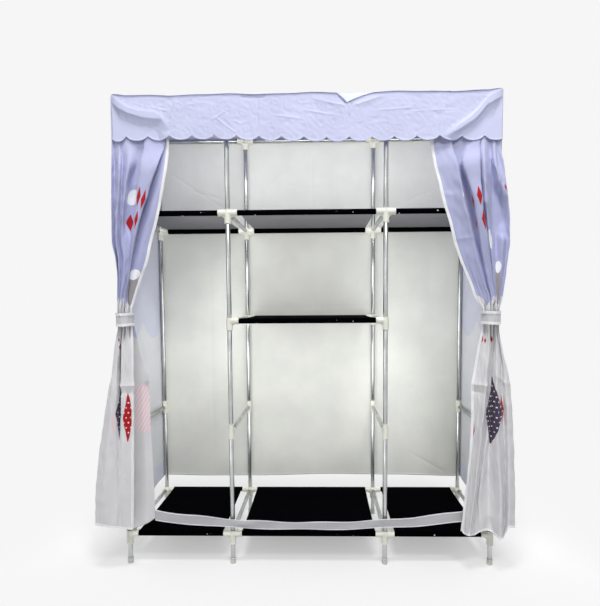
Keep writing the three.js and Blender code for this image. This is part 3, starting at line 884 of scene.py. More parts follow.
def add_roof():
    x = np.linspace(COVER_LEFT, COVER_RIGHT, ROOF_COLUMNS)
    share = np.linspace(0, 1, ROOF_ROWS)[:, None] ** 1.25
    front = valance_face(x)[None, :]
    y = BACK_FACE + (front - BACK_FACE) * (1 - share)
    gx = np.broadcast_to(x[None, :], y.shape)
    falling = 1 - smooth_step(y, front, np.full_like(front, FRONT_Y - TUBE_RADIUS))
    z = ROOF_UNDER + CLOTH / 2 + (roof_edge_height(gx) - ROOF_UNDER) * falling
    depth = np.clip((y - FRONT_Y) / (REAR_Y - FRONT_Y), 0, 1)
    posts = np.array(POST_X)
    bay = np.clip(np.searchsorted(posts, gx) - 1, 0, 2)
    across = np.clip((gx - posts[bay]) / (posts[bay + 1] - posts[bay]), 0, 1)
    z = z - ROOF_SAG * np.sin(math.pi * depth) * np.sin(math.pi * across)
    z = z - ROOF_WRINKLES * np.abs(crumple(gx, y, 5, 16, 0.06, 0.3)) * depth * (1 - depth) * 4
    z = z - ROOF_CREASE * crease(gx, y, (DIP_X, VALANCE_FACE), (DIP_X + 0.05, 0.1), 0.02) * depth
    grid = np.stack([gx, y, z], axis=2)
    made = cloth("roof_sheet", grid[:, ::-1], grid[:, ::-1, :2], [lavender])
    dress(made, "cover", "cover_roof")


# Fold lines pressed into the valance: start and end as (x, z), width, and height towards the front
VALANCE_CREASES = (
    ((-0.415, 1.6), (-0.44, 1.51), 4 * MM, 1.6 * MM),
    ((-0.147, 1.59), (-0.148, 1.5), 1.6 * MM, -1.6 * MM),
    ((-0.255, 1.548), (-0.3, 1.52), 2.2 * MM, 1.4 * MM),
    ((-0.29, 1.53), (-0.22, 1.478), 2.6 * MM, 1.6 * MM),
    ((0.14, 1.568), (0.112, 1.592), 3 * MM, -3.2 * MM),
    ((0.152, 1.566), (0.153, 1.53), 2.4 * MM, 2.6 * MM),
    ((0.159, 1.566), (0.16, 1.53), 2 * MM, -2.0 * MM),
    ((0.165, 1.56), (0.26, 1.59), 7 * MM, 2.4 * MM),
    ((0.14, 1.56), (0.03, 1.585), 8 * MM, 1.8 * MM),
    ((-0.207, 1.594), (-0.124, 1.592), 5 * MM, -3.0 * MM),
    ((0.442, 1.6), (0.443, 1.455), 1.5 * MM, 1.3 * MM),
    ((0.455, 1.6), (0.456, 1.455), 1.5 * MM, -1.4 * MM),
    ((0.463, 1.6), (0.464, 1.455), 1.3 * MM, 1.1 * MM),
    ((0.622, 1.59), (0.482, 1.462), 3.5 * MM, 3.4 * MM),
    ((0.6, 1.575), (0.64, 1.548), 1.8 * MM, 1.3 * MM),
    ((0.585, 1.582), (0.625, 1.56), 1.6 * MM, -1.2 * MM),
    ((0.598, 1.548), (0.63, 1.59), 1.6 * MM, 1.2 * MM),
    ((0.612, 1.54), (0.645, 1.58), 1.6 * MM, -1.1 * MM),
    ((0.35, 1.54), (0.5, 1.545), 1.8 * MM, 1.0 * MM),
    ((0.0, 1.55), (0.11, 1.53), 3 * MM, 1.3 * MM),
    ((-0.1, 1.535), (0.0, 1.52), 3 * MM, 1.2 * MM),
    ((0.24, 1.545), (0.37, 1.552), 3 * MM, 1.2 * MM),
    ((-0.5, 1.565), (-0.44, 1.55), 3 * MM, 1.2 * MM),
    ((-0.56, 1.58), (-0.5, 1.56), 3 * MM, 1.0 * MM),
)

# Where the valance is tucked back at its corners: the line of the fold as (x, z), left to right
LEFT_TUCK = ((-0.64, 1.598), (-0.608, 1.569), (-0.578, 1.552), (-0.536, 1.539), (-0.47, 1.53), (-0.45, 1.51))
RIGHT_TUCK = ((0.47, 1.462), (0.487, 1.472), (0.525, 1.493), (0.562, 1.517), (0.6, 1.564), (0.656, 1.597))
TUCK_LIP = 7 * MM
TUCK_LIP_WIDTH = 16 * MM
TUCK_DEPTH = 15 * MM
# The least fall that the slope behind a tuck is spread over, and the share of it right at the line
TUCK_FALL = 50 * MM
TUCK_STEP = 0.35
# Each tuck's line, and where across the front it starts and is full
TUCKS = ((LEFT_TUCK, -0.44, -0.5), (RIGHT_TUCK, 0.45, 0.52))
VALANCE_EASE = 2.2 * MM
VALANCE_WRINKLES = 0.55 * MM
# Broad waves of the valance: how many there are along the front, and over what length
VALANCE_WAVES = 5.5
VALANCE_WAVE_SPAN = 1.27
VALANCE_ROOM = 13.8 * MM
PIPING_EXTRA = 1.1 * MM


def valance_grid():
    x = np.linspace(COVER_LEFT, COVER_RIGHT, VALANCE_COLUMNS)[None, :]
    down = np.linspace(0, 1, VALANCE_ROWS)[:, None]
    top = roof_edge_height(x)
    hem = VALANCE_HEM + scallop_hem(x)
    z = top + (hem - top) * down
    x = np.broadcast_to(x, z.shape)
    back = np.zeros(z.shape)
    for line, inner, outer in TUCKS:
        height = np.interp(x, *zip(*line))
        below = height - z
        near = smooth_step((x - inner) / (outer - inner), 0, 1)
        back -= TUCK_LIP * np.exp(-(below / TUCK_LIP_WIDTH) ** 2) * near
        slope = np.clip(below / np.maximum(height - hem, TUCK_FALL), 0, 1)
        sunk = TUCK_STEP * smooth_step(below, -2 * MM, 14 * MM) + (1 - TUCK_STEP) * slope
        back += TUCK_DEPTH * sunk * near
    ends = smooth_step(np.minimum(x - COVER_LEFT, COVER_RIGHT - x), 0.0, 0.06)
    wave = 0.5 - 0.5 * np.cos(FULL_TURN * VALANCE_WAVES * x / VALANCE_WAVE_SPAN + 0.8)
    back += (1.2 + 3.2 * wave) * MM * (ROOF_UNDER - z) / (ROOF_UNDER - VALANCE_HEM) * ends
    back += VALANCE_WRINKLES * np.abs(crumple(x, z * 1.6, 11, 26, 0.025, 0.16)) * ends
    back -= creased(x, z, VALANCE_CREASES)
    face = valance_face(x) + CLOTH / 2
    y = np.maximum(face + VALANCE_EASE + back, face)
    deepest = np.clip(np.maximum(face, CURTAIN_BACK - VALANCE_ROOM), None, CURTAIN_BACK)
    y = np.minimum(y, np.maximum(deepest, face + 0.3 * MM))
    return np.stack([x, y, z], axis=2)


def add_valance():
    grid = valance_grid()
    flat = grid[:, :, ::2]
    made = cloth("valance_cloth", grid, flat, [lavender])
    dress(made, None, "valance")
    hem = cloth("valance_piping", grid[-4:], flat[-4:], [lavender], CLOTH + PIPING_EXTRA)
    dress(hem, "valance")
    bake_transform(made)


BACK_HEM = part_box("back_panel")[0].z
BACK_CREASES = (
    ((-0.58, 1.47), (-0.2, 1.22), 3 * MM, 1.6 * MM),
    ((-0.5, 1.4), (-0.35, 1.36), 5 * MM, 2.0 * MM),
    ((-0.2, 1.22), (0.1, 1.07), 4 * MM, 1.0 * MM),
    ((0.6, 1.42), (0.3, 1.3), 5 * MM, 1.3 * MM),
    ((-0.42, 1.1), (-0.42, 0.2), 12 * MM, 2.2 * MM),
    ((-0.36, 1.0), (-0.36, 0.2), 9 * MM, -2.0 * MM),
    ((0.45, 0.26), (0.6, 0.18), 6 * MM, 2.2 * MM),
    ((-0.6, 0.9), (0.6, 0.91), 3 * MM, 0.9 * MM),
    ((-0.6, 0.55), (0.6, 0.56), 3 * MM, 0.8 * MM),
    ((0.02, 1.6), (0.03, 0.2), 4 * MM, 0.8 * MM),
    ((-0.1, 1.42), (0.1, 1.4), 8 * MM, 1.4 * MM),
)
SEAM_DROP = 0.3 * MM
BACK_HEM_EXTRA = 0.9 * MM
BACK_BILLOW = 4 * MM
BACK_BILLOW_WIDTH = 0.42
BACK_WRINKLES = 0.9 * MM
# How far the back's hem waves out of the plane, and up and down
BACK_HEM_WAVE = 2 * MM
BACK_HEM_RISE = 4 * MM
BACK_COLUMNS = 380
BACK_ROWS = 400


def add_back():
    x = np.linspace(COVER_LEFT, COVER_RIGHT, BACK_COLUMNS)
    z = np.linspace(ROOF_UNDER - SEAM_DROP, BACK_HEM, BACK_ROWS)
    gx, gz = np.meshgrid(x, z)
    inside = np.minimum(gx - COVER_LEFT, COVER_RIGHT - gx)
    loose = smooth_step(inside, 0, 0.05) * smooth_step(ROOF_UNDER - gz, 0, 0.1)
    swell = BACK_BILLOW * np.abs(np.sin(math.pi * (gx - POST_X[0]) / BACK_BILLOW_WIDTH))
    billow = swell * smooth_step(1.5 - gz, 0, 0.6)
    wrinkles = BACK_WRINKLES * (1 + crumple(gx, gz * 0.6, 21, 22, 0.08, 0.5))
    hem_wave = BACK_HEM_WAVE * np.sin(gx * 17) * smooth_step(0.5 - gz, 0, 0.35)
    bulge = billow + wrinkles + creased(gx, gz, BACK_CREASES) + hem_wave
    gy = BACK_FACE - CLOTH / 2 + np.maximum(bulge, -0.2 * MM) * loose
    gz = gz + BACK_HEM_RISE * np.sin(gx * 6 + 0.6) * smooth_step(0.4 - gz, 0, 0.22)
    grid = np.stack([gx, gy, gz], axis=2)
    flat = grid[:, :, ::2]
    made = cloth("back_sheet", grid, flat, [off_white])
    dress(made, "cover", "back_panel")
    hem = cloth("back_hem_edge", grid[-3:], flat[-3:], [off_white], CLOTH + BACK_HEM_EXTRA)
    dress(hem, "cover")


# Side panels, each with a loose return that turns the front corner and hangs beside the tied curtain
SIDE_FRONT_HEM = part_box("side_panel_left")[0].z
RETURN_TOP = 1.0
# The return's hem at its inner edge, a little lower than at the corner
RETURN_HEM = 0.163
SIDE_CREASES = (((-0.1, 1.5), (0.18, 1.3), 5 * MM, 2 * MM),)
SIDE_BILLOW = 2.4 * MM
SIDE_WRINKLES = 0.7 * MM
SIDE_COLUMNS = 150
SIDE_ROWS = 330
# A return starts a little inside the side panel. Its inner edge rolls back, a pleat stands out above the
# fold at the tucked corner, and it has little room to stand out at all
RETURN_INSET = 1 * MM
RETURN_ROLL = 9 * MM
RETURN_BILLOW = 5 * MM
RETURN_PLEAT = 4 * MM
PLEAT_SHARE = 0.72
RETURN_FOLD = 3.5 * MM
FOLD_HEIGHT = 0.662
RETURN_WRINKLES = 0.5 * MM
RETURN_ROOM = 0.6 * MM
RETURN_COLUMNS = 60
RETURN_ROWS = 240
# Inner edge of each return: height, and how far it reaches in from the side face
RETURN_EDGES = {
    -1: (
        (1.0, 0.004), (0.93, 0.02), (0.86, 0.05), (0.76, 0.07), (0.67, 0.098),
        (0.6, 0.1), (0.5, 0.101), (0.35, 0.105), (0.2, 0.108), (0.163, 0.108),
    ),
    1: (
        (1.0, 0.004), (0.93, 0.015), (0.86, 0.035), (0.76, 0.052), (0.67, 0.068),
        (0.6, 0.074), (0.5, 0.076), (0.35, 0.084), (0.2, 0.1), (0.163, 0.108),
    ),
}


def facing_out(grid, flat, turned):
    """A grid and its flat places with their columns reversed, where that turns the cloth's front outwards."""
    return (grid[:, ::-1], flat[:, ::-1]) if turned else (grid, flat)


def add_side(name, side):
    y = np.linspace(FRONT_LAYER, BACK_FACE - 1.5 * MM, SIDE_COLUMNS)
    down = np.linspace(0, 1, SIDE_ROWS)[:, None]
    hem = SIDE_FRONT_HEM + (BACK_HEM - SIDE_FRONT_HEM) * (y - FRONT_LAYER) / (BACK_FACE - FRONT_LAYER)
    top = ROOF_UNDER - SEAM_DROP
    gz = top + (hem[None, :] - top) * down
    gy = np.broadcast_to(y[None, :], gz.shape)
    edge = np.minimum(gy - FRONT_LAYER, BACK_FACE - gy)
    loose = smooth_step(edge, 0, 0.06) * smooth_step(top - gz, 0, 0.12)
    billow = SIDE_BILLOW * (1 + np.sin(gy * 15 + gz * 2 + side))
    wrinkles = SIDE_WRINKLES * crumple(gy, gz * 0.6, 31 + side, 20, 0.07, 0.4)
    bulge = billow + wrinkles + creased(gy, gz, SIDE_CREASES)
    gx = side_face(side) - side * CLOTH / 2 + side * bulge * loose
    grid = np.stack([gx, gy, gz], axis=2)
    flat = np.stack([gy - FRONT_LAYER, gz], axis=2)
    made = cloth(f"{name}_sheet", *facing_out(grid, flat, side < 0), [side_printed, side_reverse])
    dress(made, "cover", name)
    flap = add_return(name, side)


def add_return(name, side):
    heights, reaches = np.array(RETURN_EDGES[side])[::-1].T
    z = np.linspace(RETURN_TOP, SIDE_FRONT_HEM, RETURN_ROWS)[:, None]
    share = np.linspace(0, 1, RETURN_COLUMNS)[None, :]
    reach = np.interp(z, heights, reaches)
    gz = z + (RETURN_HEM - SIDE_FRONT_HEM) * share ** 1.5 * smooth_step(0.35 - z, 0, 0.2)
    roll = RETURN_ROLL * smooth_step(share, PLEAT_SHARE, 1.0) * smooth_step(0.66 - z, 0, 0.03)
    inward = reach * share - roll * 0.4 * share
    billow = RETURN_BILLOW * np.sin(math.pi * share) * smooth_step(0.9 - z, 0, 0.3)
    pleat = RETURN_PLEAT * np.exp(-((share - PLEAT_SHARE) / 0.12) ** 2) * smooth_step(z, 0.655, 0.69)
    fold = RETURN_FOLD * np.exp(-((z - FOLD_HEIGHT) / 0.006) ** 2) * smooth_step(share, 0.3, 0.6)
    wrinkles = RETURN_WRINKLES * crumple(inward, z, 41 + side, 12, 0.04, 0.2)
    forward = billow + pleat + fold + wrinkles * np.sin(math.pi * share)
    gy = FRONT_LAYER + CLOTH / 2 - np.clip(forward, 0, RETURN_ROOM) + roll
    gx = side_face(side) - side * (inward + RETURN_INSET)
    grid = np.stack([gx, gy, gz], axis=2)
    flat = np.stack([-(reach * share), gz], axis=2)
    made = cloth(f"{name}_return", *facing_out(grid, flat, side > 0), [side_printed])
    dress(made, "cover")
    return made


STRIP_BINDING_EXTRA = 1.0 * MM
STRIP_TWIST_X = -0.21
STRIP_TWIST = 5 * MM
STRIP_WAVE = 2 * MM
# The strip's two edges: their height in the middle, and how much higher they are at the ends
STRIP_TOP = (0.155, 0.042)
STRIP_BOTTOM = (0.128, 0.029)
STRIP_COLUMNS = 520
STRIP_ROWS = 26


def add_strip():
    low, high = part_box("front_strip")
    x = np.linspace(low.x, high.x, STRIP_COLUMNS)
    place = (x - (low.x + high.x) / 2) / ((high.x - low.x) / 2)
    top = STRIP_TOP[0] + STRIP_TOP[1] * place ** 2 + STRIP_WAVE * np.sin(x * 30)
    bottom = STRIP_BOTTOM[0] + STRIP_BOTTOM[1] * place ** 2 + STRIP_WAVE * np.sin(x * 24 + 2)
    twist = STRIP_TWIST * np.exp(-((x - STRIP_TWIST_X) / 0.03) ** 2)
    down = np.linspace(0, 1, STRIP_ROWS)[:, None]
    z = top + (bottom - top) * down
    ends = smooth_step(1 - np.abs(place), 0, 0.05)
    waves = 1.1 * MM * np.sin(x * 26 + 3 * down) + 1.5 * MM
    y = FRONT_LAYER + CLOTH / 2 - ends * (waves + twist * np.sin(math.pi * down))
    grid = np.stack([np.broadcast_to(x, z.shape), y, z], axis=2)
    flat = grid[:, :, ::2]
    made = cloth("front_strip_cloth", grid, flat, [strip_grey])
    dress(made, "cover", "front_strip")
    for label, rows in (("top", slice(0, 3)), ("bottom", slice(-3, None))):
        edge = cloth(f"strip_binding_{label}", grid[rows], flat[rows], [white], CLOTH + STRIP_BINDING_EXTRA)
        dress(edge, "cover")


add_roof()
add_valance()
add_back()
add_side("side_panel_left", -1)
add_side("side_panel_right", 1)
add_strip()


# The curtains. Each row is one height: the fold lines there, from the bound inner edge to the outer edge,
# as (in from the side face, out from the curtains' back) in millimetres. Between the tie and the roof the
# cloth lies in broad overlapping panels; inside the tie it is gathered; below it flares out again

CURTAIN_TOP = ROOF_UNDER - 1.2 * MM
TIE_MIDDLE = 867 * MM
GATHER_LEFT = (
    (54, 17), (51, 25), (48, 13), (45, 34), (41, 43), (37, 16), (33, 48), (30, 20),
    (27, 12), (23, 46), (19, 19), (15, 38), (12, 14), (8, 24), (6, 15),
)
GATHER_RIGHT = (
    (60, 17), (57, 25), (53, 13), (49, 35), (45, 44), (41, 17), (37, 49), (33, 20),
    (29, 12), (25, 47), (20, 18), (16, 38), (12, 14), (8, 24), (6, 15),
)
LEFT_ROWS = (
    (1610, ((194, 4), (187, 5), (166, 3), (172, 5), (180, 9), (146, 10), (112, 9), (118, 5),
            (94, 2.5), (58, 9), (32, 5), (25, 9), (6, 3), (-1, 6), (6, 1.5))),
    (1453, ((191, 4.5), (184, 6), (160, 3), (168, 5), (177, 10), (144, 11), (110, 10), (117, 5),
            (92, 2.5), (56, 10), (30, 5), (26, 9), (5, 3), (-2, 7), (5, 1.5))),
    (1391, ((184, 5), (170, 6), (140, 3), (148, 6), (157, 13), (128, 14), (98, 13), (106, 6),
            (84, 2.5), (58, 12), (32, 6), (26, 13), (5, 3), (-3, 9), (4, 1.5))),
    (1327, ((172, 5), (154, 7), (119, 3), (125, 6), (133, 14), (111, 16), (87, 14), (95, 6),
            (59, 2.5), (46, 13), (29, 7), (23, 15), (4, 3), (-5, 9), (3, 1.5))),
    (1262, ((159, 5), (137, 8), (101, 3), (105, 6), (111.5, 14), (95, 16), (78, 14), (85, 6),
            (45, 2.5), (38, 14), (25, 8), (18, 15), (0, 4), (-7, 9), (2, 1.5))),
    (1197, ((144.5, 6), (118, 9), (82, 4), (85, 7), (89.5, 15), (80, 17), (69, 15), (74, 7),
            (36.5, 3), (31, 14), (19, 9), (11, 15), (-2, 5), (-8, 10), (0, 2))),
    (1131, ((125, 6), (99, 10), (68, 6), (70, 9), (72, 17), (66, 19), (59, 17), (62, 10),
            (50, 9), (28, 16), (18, 10), (10, 18), (-1, 6), (-8, 12), (0, 3))),
    (1065, ((109.5, 7), (85, 13), (57, 10), (58, 14), (59.5, 21), (57, 23), (54, 21), (55, 15),
            (47, 16), (34, 20), (22, 14), (17, 22), (8, 8), (4, 14), (9, 5))),
    (998, ((85, 10), (69, 19), (47, 15), (47.5, 20), (49, 28), (47, 30), (44.5, 28), (45, 20),
           (39, 22), (30, 27), (20.5, 20), (18, 28), (13, 14), (9, 18), (12, 8))),
    (931, ((63, 14), (55, 24), (43, 18), (41, 25), (38, 36), (36, 38), (33, 36), (32, 25),
           (29, 24), (23, 38), (18, 24), (16, 34), (12, 18), (8, 22), (9, 11))),
    (891, GATHER_LEFT),
    (843, GATHER_LEFT),
    (780, ((58, 26), (55, 31), (51, 35), (45, 38), (37, 38), (29, 37), (21.7, 36), (17, 16),
           (13, 12), (16, 36), (13, 40), (8.6, 40), (1, 33), (-5.7, 22), (-1, 15))),
    (695, ((58.5, 30), (56, 35), (50, 39), (42, 42), (34, 43), (27, 43), (20.6, 42), (13, 14),
           (7.5, 10), (8, 44), (4, 47), (-1.5, 47), (-9, 40), (-15, 27), (-9, 19))),
    (634, ((58, 32), (55, 38), (48, 42), (40, 44), (33, 45), (26, 46), (19.8, 45), (11, 16),
           (6, 12), (7.5, 48), (1, 52), (-8, 53), (-19, 44), (-28, 30), (-21, 21))),
    (524, ((56, 34), (52, 40), (45, 44), (38, 46), (30, 48), (23, 49), (17.4, 48), (11, 36),
           (6.3, 32), (0.3, 52), (-9, 56), (-20, 57), (-34, 48), (-45, 36), (-37, 26))),
    (385, ((53, 38), (48, 44), (41, 48), (34, 50), (26, 52), (19, 53), (12.8, 52), (8, 50),
           (5, 49), (-1.7, 58), (-17, 62), (-34, 63), (-52, 55), (-66, 44), (-56, 32))),
    (245, ((49.5, 40), (44, 46), (37, 50), (31, 52), (23, 54), (15, 55), (8, 55), (5, 54.5),
           (3, 54), (-4.4, 62), (-22, 66), (-41, 67), (-63, 60), (-78, 50), (-67, 38))),
    (146, ((46, 42), (41, 48), (34, 51), (28, 53), (20, 55), (12, 56), (5.3, 56), (2.5, 55.5),
           (0, 55), (-6.8, 64), (-24, 68), (-43, 69), (-65, 63), (-80, 54), (-69, 42))),
)
RIGHT_ROWS = (
    (1610, ((238, 4), (214, 5), (192, 7), (172, 9), (178, 5), (140, 2.5), (108, 9), (79, 9),
            (85, 2), (65, 9), (43, 4), (30, 9), (19, 5), (7, 7), (14, 1.5))),
    (1438, ((234, 4.5), (211, 5), (189, 7), (166.5, 9.5), (173, 5), (132, 2.5), (107.6, 9), (78, 11),
            (84, 2), (64, 11), (42, 4), (29, 9), (18, 5), (6, 8), (13, 1.5))),
    (1378, ((224, 5), (199, 6), (174, 8), (148.7, 12), (156, 6), (136, 2.5), (127.7, 13), (75.5, 15),
            (82, 2), (61, 15), (38, 4), (25, 12), (11, 6), (-2, 9), (5, 1.5))),
    (1314, ((207, 5), (183, 6), (160, 9), (135.5, 14), (143, 6), (114, 2.5), (109.5, 14), (71, 16),
            (77.5, 2), (57.5, 16), (30, 3.5), (12.5, 14), (1, 11), (-12, 9), (-4, 1.5))),
    (1290, ((201, 5), (178, 6), (155, 9), (131, 14), (138, 6), (108.5, 2.5), (102.5, 14.5), (69, 16.5),
            (75, 2), (56, 16), (30, 2), (10, 8), (-2, 13), (-15, 9), (-7, 1.5))),
    (1269, ((196, 5), (173, 7), (150, 10), (126.5, 14), (133.5, 6), (102.5, 2.5), (95.5, 15), (67, 17),
            (72, 2), (54, 16), (29.5, 2), (8, 2.5), (-4.5, 12), (-18.5, 9), (-10.5, 1.5))),
    (1250, ((191.5, 5), (169, 7), (147, 10), (123.4, 14), (130, 6), (99, 2.5), (91, 15), (65, 17),
            (69, 2), (52.5, 16), (29, 2), (6, 2.5), (-7, 7.5), (-21, 9), (-13, 1.5))),
    (1185, ((171, 6), (150, 8), (129, 11), (106, 15), (112, 7), (86.5, 3), (80.5, 16), (57.4, 16),
            (52, 6), (45, 13), (27, 2), (2, 3), (-12, 3.5), (-27, 10), (-18, 2))),
    (1150, ((162, 6), (141, 8.5), (120.5, 11.5), (98, 15), (103, 7.5), (82, 4), (75, 16.5), (52, 16.5),
            (47, 8), (41, 12.5), (22, 3), (-1, 6.5), (-16, 5.5), (-27, 11), (-18, 2.5))),
    (1121, ((155, 6), (134, 9), (113, 12), (90.5, 15), (95, 8), (78, 5), (70, 17), (47, 17),
            (41.8, 10), (38, 13), (17, 4), (-3, 14), (-19, 9), (-27, 12), (-18, 3))),
    (1056, ((133, 7), (115, 11), (97, 15), (77.5, 19), (80, 12), (63.7, 10), (58.6, 20), (40.7, 20),
            (34, 13), (30, 17), (16.3, 10), (-1, 16), (-14, 11), (-20, 14), (-12, 5))),
    (990, ((105.5, 10), (91, 15), (76, 20), (60.6, 25), (61, 18), (51.7, 16), (46.7, 26), (33.8, 26),
           (28.6, 19), (25, 23), (16.2, 16), (6, 22), (-5, 16), (-11, 18), (-5, 8))),
    (925, ((81, 14), (69, 21), (56, 26), (42.3, 34), (41, 26), (38, 22), (36.6, 34), (26.8, 34),
           (22.6, 25), (21.5, 31), (14.5, 22), (9, 28), (3, 20), (-1, 22), (3, 12))),
    (891, GATHER_RIGHT),
    (843, GATHER_RIGHT),
    (775, ((74, 18), (66, 19), (58, 25), (50, 30), (42.6, 36), (35, 27), (28.2, 20), (26.8, 24),
           (23.2, 20), (19.5, 36), (11, 32), (5.2, 22), (3.9, 30), (-1.1, 24), (4, 14))),
    (685, ((86.6, 14), (77, 18), (68.5, 26), (60, 34), (51.9, 43), (41, 30), (32.2, 21), (30.5, 25),
           (26.6, 19), (20.4, 43), (7, 36), (-4.5, 23), (-11.3, 37), (-23.8, 26), (-15, 16))),
    (631, ((94, 14), (84, 19), (73.2, 28), (64, 37), (55.5, 47), (43, 32), (33, 22), (30.8, 26),
           (26.2, 19), (20.7, 47), (7, 38), (-6.5, 23), (-14.4, 41), (-32, 28), (-22, 17))),
    (522, ((92.4, 16), (85, 21), (77.7, 32), (71, 42), (65.4, 53), (51, 38), (39, 26), (33.4, 30),
           (26, 22), (19, 53), (3, 42), (-12.3, 27), (-19.5, 47), (-41, 32), (-31, 20))),
    (386, ((98, 18), (93, 24), (88.3, 36), (84, 47), (79.8, 59), (66, 42), (56.3, 30), (52, 37),
           (32.5, 24), (14.2, 61), (-2, 48), (-18, 33), (-23.4, 53), (-47, 37), (-37, 24))),
    (246, ((112, 20), (107, 27), (102.7, 40), (98.5, 52), (94.6, 64), (83, 47), (74, 34), (67, 43),
           (31, 26), (8, 69), (-6, 54), (-19, 37), (-23.7, 59), (-50, 42), (-39, 28))),
    (118, ((125.5, 22), (122, 30), (118.7, 42), (115.5, 54), (112, 66), (95, 50), (80, 36), (56, 46),
           (27, 30), (8.3, 75), (-4, 58), (-15, 40), (-23, 61), (-50, 46), (-39, 32))),
)
LEFT_HEM = (147, 148, 150, 151.7, 154, 156, 158, 159, 159.5, 160.6, 165, 167.6, 168, 167, 166)
RIGHT_HEM = (137, 135, 133.6, 136, 139, 133, 129, 146, 138, 131, 127, 124, 164, 158, 157)
STEPS_PER_FOLD = 17
DENSE_ROWS = 520
CURTAIN_ROWS = 420
LEAST_OUT = 1.3 * MM
# Below the valance the folds stand out further, along the line of sight of the photo
FOLD_GAIN = 2.2
SHALLOW = 3 * MM
SIGHT_SLOPE = 0.35
# Below the tie the outer edge turns back in, as far as this or as the inner edge leaves room for
TURN_IN = 105 * MM
TURN_IN_ROOM = 11 * MM
# Points that the turned-in edge passes: share of the way in, and share of the outer edge's depth
TURN_IN_POINTS = ((0.12, 0.8), (0.55, 0.3), (1.0, 0.26))
LOWEST_ROW = 0.1
# Where the folds are made deeper: how far below the valance's hem, and how high above the tie
GAIN_BELOW_HEM = (-0.01, 0.09)
GAIN_ABOVE_TIE = (0.93, 1.25)
# The small pleats that a tie presses in: how many across, how high, and where they fade and start
TIE_PLEATS = 26
TIE_PLEAT_HEIGHT = 1.9 * MM
TIE_PLEAT_FADE = 0.085
TIE_PLEAT_START = 0.02
# Wrinkles all over a curtain, soft ones and sharper ridges
SOFT_WRINKLES = 0.7 * MM
RIDGED_WRINKLES = 0.8 * MM
HEM_WIDTH = 6 * MM
# How far a binding or hem passes the cloth's own edge
EDGE_OVERHANG = 0.8 * MM
EDGE_POINTS = 6
SIDE_WORDS = {-1: "left", 1: "right"}


def through_points(points, steps):
    """A smooth line through points, first axis, with a fixed number of steps between two neighbours."""
    padded = np.concatenate([[2 * points[0] - points[1]], points, [2 * points[-1] - points[-2]]])
    made = []
    for i in range(1, len(padded) - 2):
        p0, p1, p2, p3 = padded[i - 1:i + 3]
        for t in np.arange(steps) / steps:
            bend = (2 * p0 - 5 * p1 + 4 * p2 - p3) * t * t + (3 * p1 - p0 - 3 * p2 + p3) * t ** 3
            made.append(0.5 * (2 * p1 + (p2 - p0) * t + bend))
    made.append(points[-1])
    return np.array(made)


def between_rows(heights, values, wanted):
    """Values at other heights, smooth and without overshoot."""
    heights, values = heights[::-1], values[::-1]
    gaps = np.diff(heights)
    slopes = np.diff(values, axis=0) / gaps[:, None]
    before, after = slopes[:-1], slopes[1:]
    wb = (2 * gaps[1:] + gaps[:-1])[:, None]
    wa = (gaps[1:] + 2 * gaps[:-1])[:, None]
    with np.errstate(divide="ignore", invalid="ignore"):
        joined = (wb + wa) / (wb / before + wa / after)
    inner = np.where(before * after > 0, joined, 0)
    tangents = np.concatenate([slopes[:1], inner, slopes[-1:]])
    place = np.clip(np.searchsorted(heights, wanted, side="right") - 1, 0, len(gaps) - 1)
    gap = gaps[place][:, None]
    t = np.clip((wanted - heights[place])[:, None] / gap, 0, 1)
    return (
        values[place] * (2 * t ** 3 - 3 * t ** 2 + 1) + tangents[place] * gap * (t ** 3 - 2 * t ** 2 + t)
        + values[place + 1] * (3 * t ** 2 - 2 * t ** 3) + tangents[place + 1] * gap * (t ** 3 - t ** 2)
    )


# Creases pressed across the curtains: start and end as (share across from the inner edge, height)
LEFT_CREASES = (
    ((0.0, 1.13), (0.3, 1.15), 4 * MM, 1.2 * MM),
    ((0.0, 0.643), (0.4, 0.645), 9 * MM, 5.5 * MM),
    ((0.0, 0.618), (0.38, 0.62), 9 * MM, -3.5 * MM),
    ((0.5, 0.64), (1.0, 0.65), 7 * MM, 1.2 * MM),
    ((0.56, 1.44), (0.68, 1.35), 8 * MM, 1.8 * MM),
    ((0.1, 1.3), (0.45, 1.22), 4 * MM, 0.8 * MM),
    ((0.1, 0.33), (0.5, 0.34), 4 * MM, 0.8 * MM),
)
RIGHT_CREASES = (
    ((0.0, 1.127), (0.24, 1.135), 4 * MM, 1.8 * MM),
    ((0.3, 1.25), (0.6, 1.24), 5 * MM, 1.2 * MM),
    ((0.0, 0.643), (0.25, 0.641), 8 * MM, 5.0 * MM),
    ((0.0, 0.618), (0.22, 0.616), 9 * MM, -3.2 * MM),
    ((0.5, 0.68), (1.0, 0.62), 6 * MM, 1.8 * MM),
    ((0.05, 0.36), (0.5, 0.35), 4 * MM, 0.8 * MM),
    ((0.62, 1.42), (0.8, 1.25), 5 * MM, 1.6 * MM),
    ((0.72, 1.34), (0.92, 1.2), 4 * MM, 1.4 * MM),
)


def turned_in(heights, folds):
    """The outer edge turns back in behind the folds: far below the tie, hardly at all above it."""
    added = [folds]
    room = np.minimum(TURN_IN, folds[:, 0, 0] - folds[:, -1, 0] - TURN_IN_ROOM)
    reach = 3 * MM + room * smooth_step(TIE_MIDDLE - heights, 0.03, 0.12)
    for share, depth in TURN_IN_POINTS:
        along = folds[:, -1, 0] + reach * share
        out = LEAST_OUT + (folds[:, -1, 1] - LEAST_OUT) * depth
        added.append(np.stack([along, out], axis=1)[:, None])
    return np.concatenate(added, axis=1)


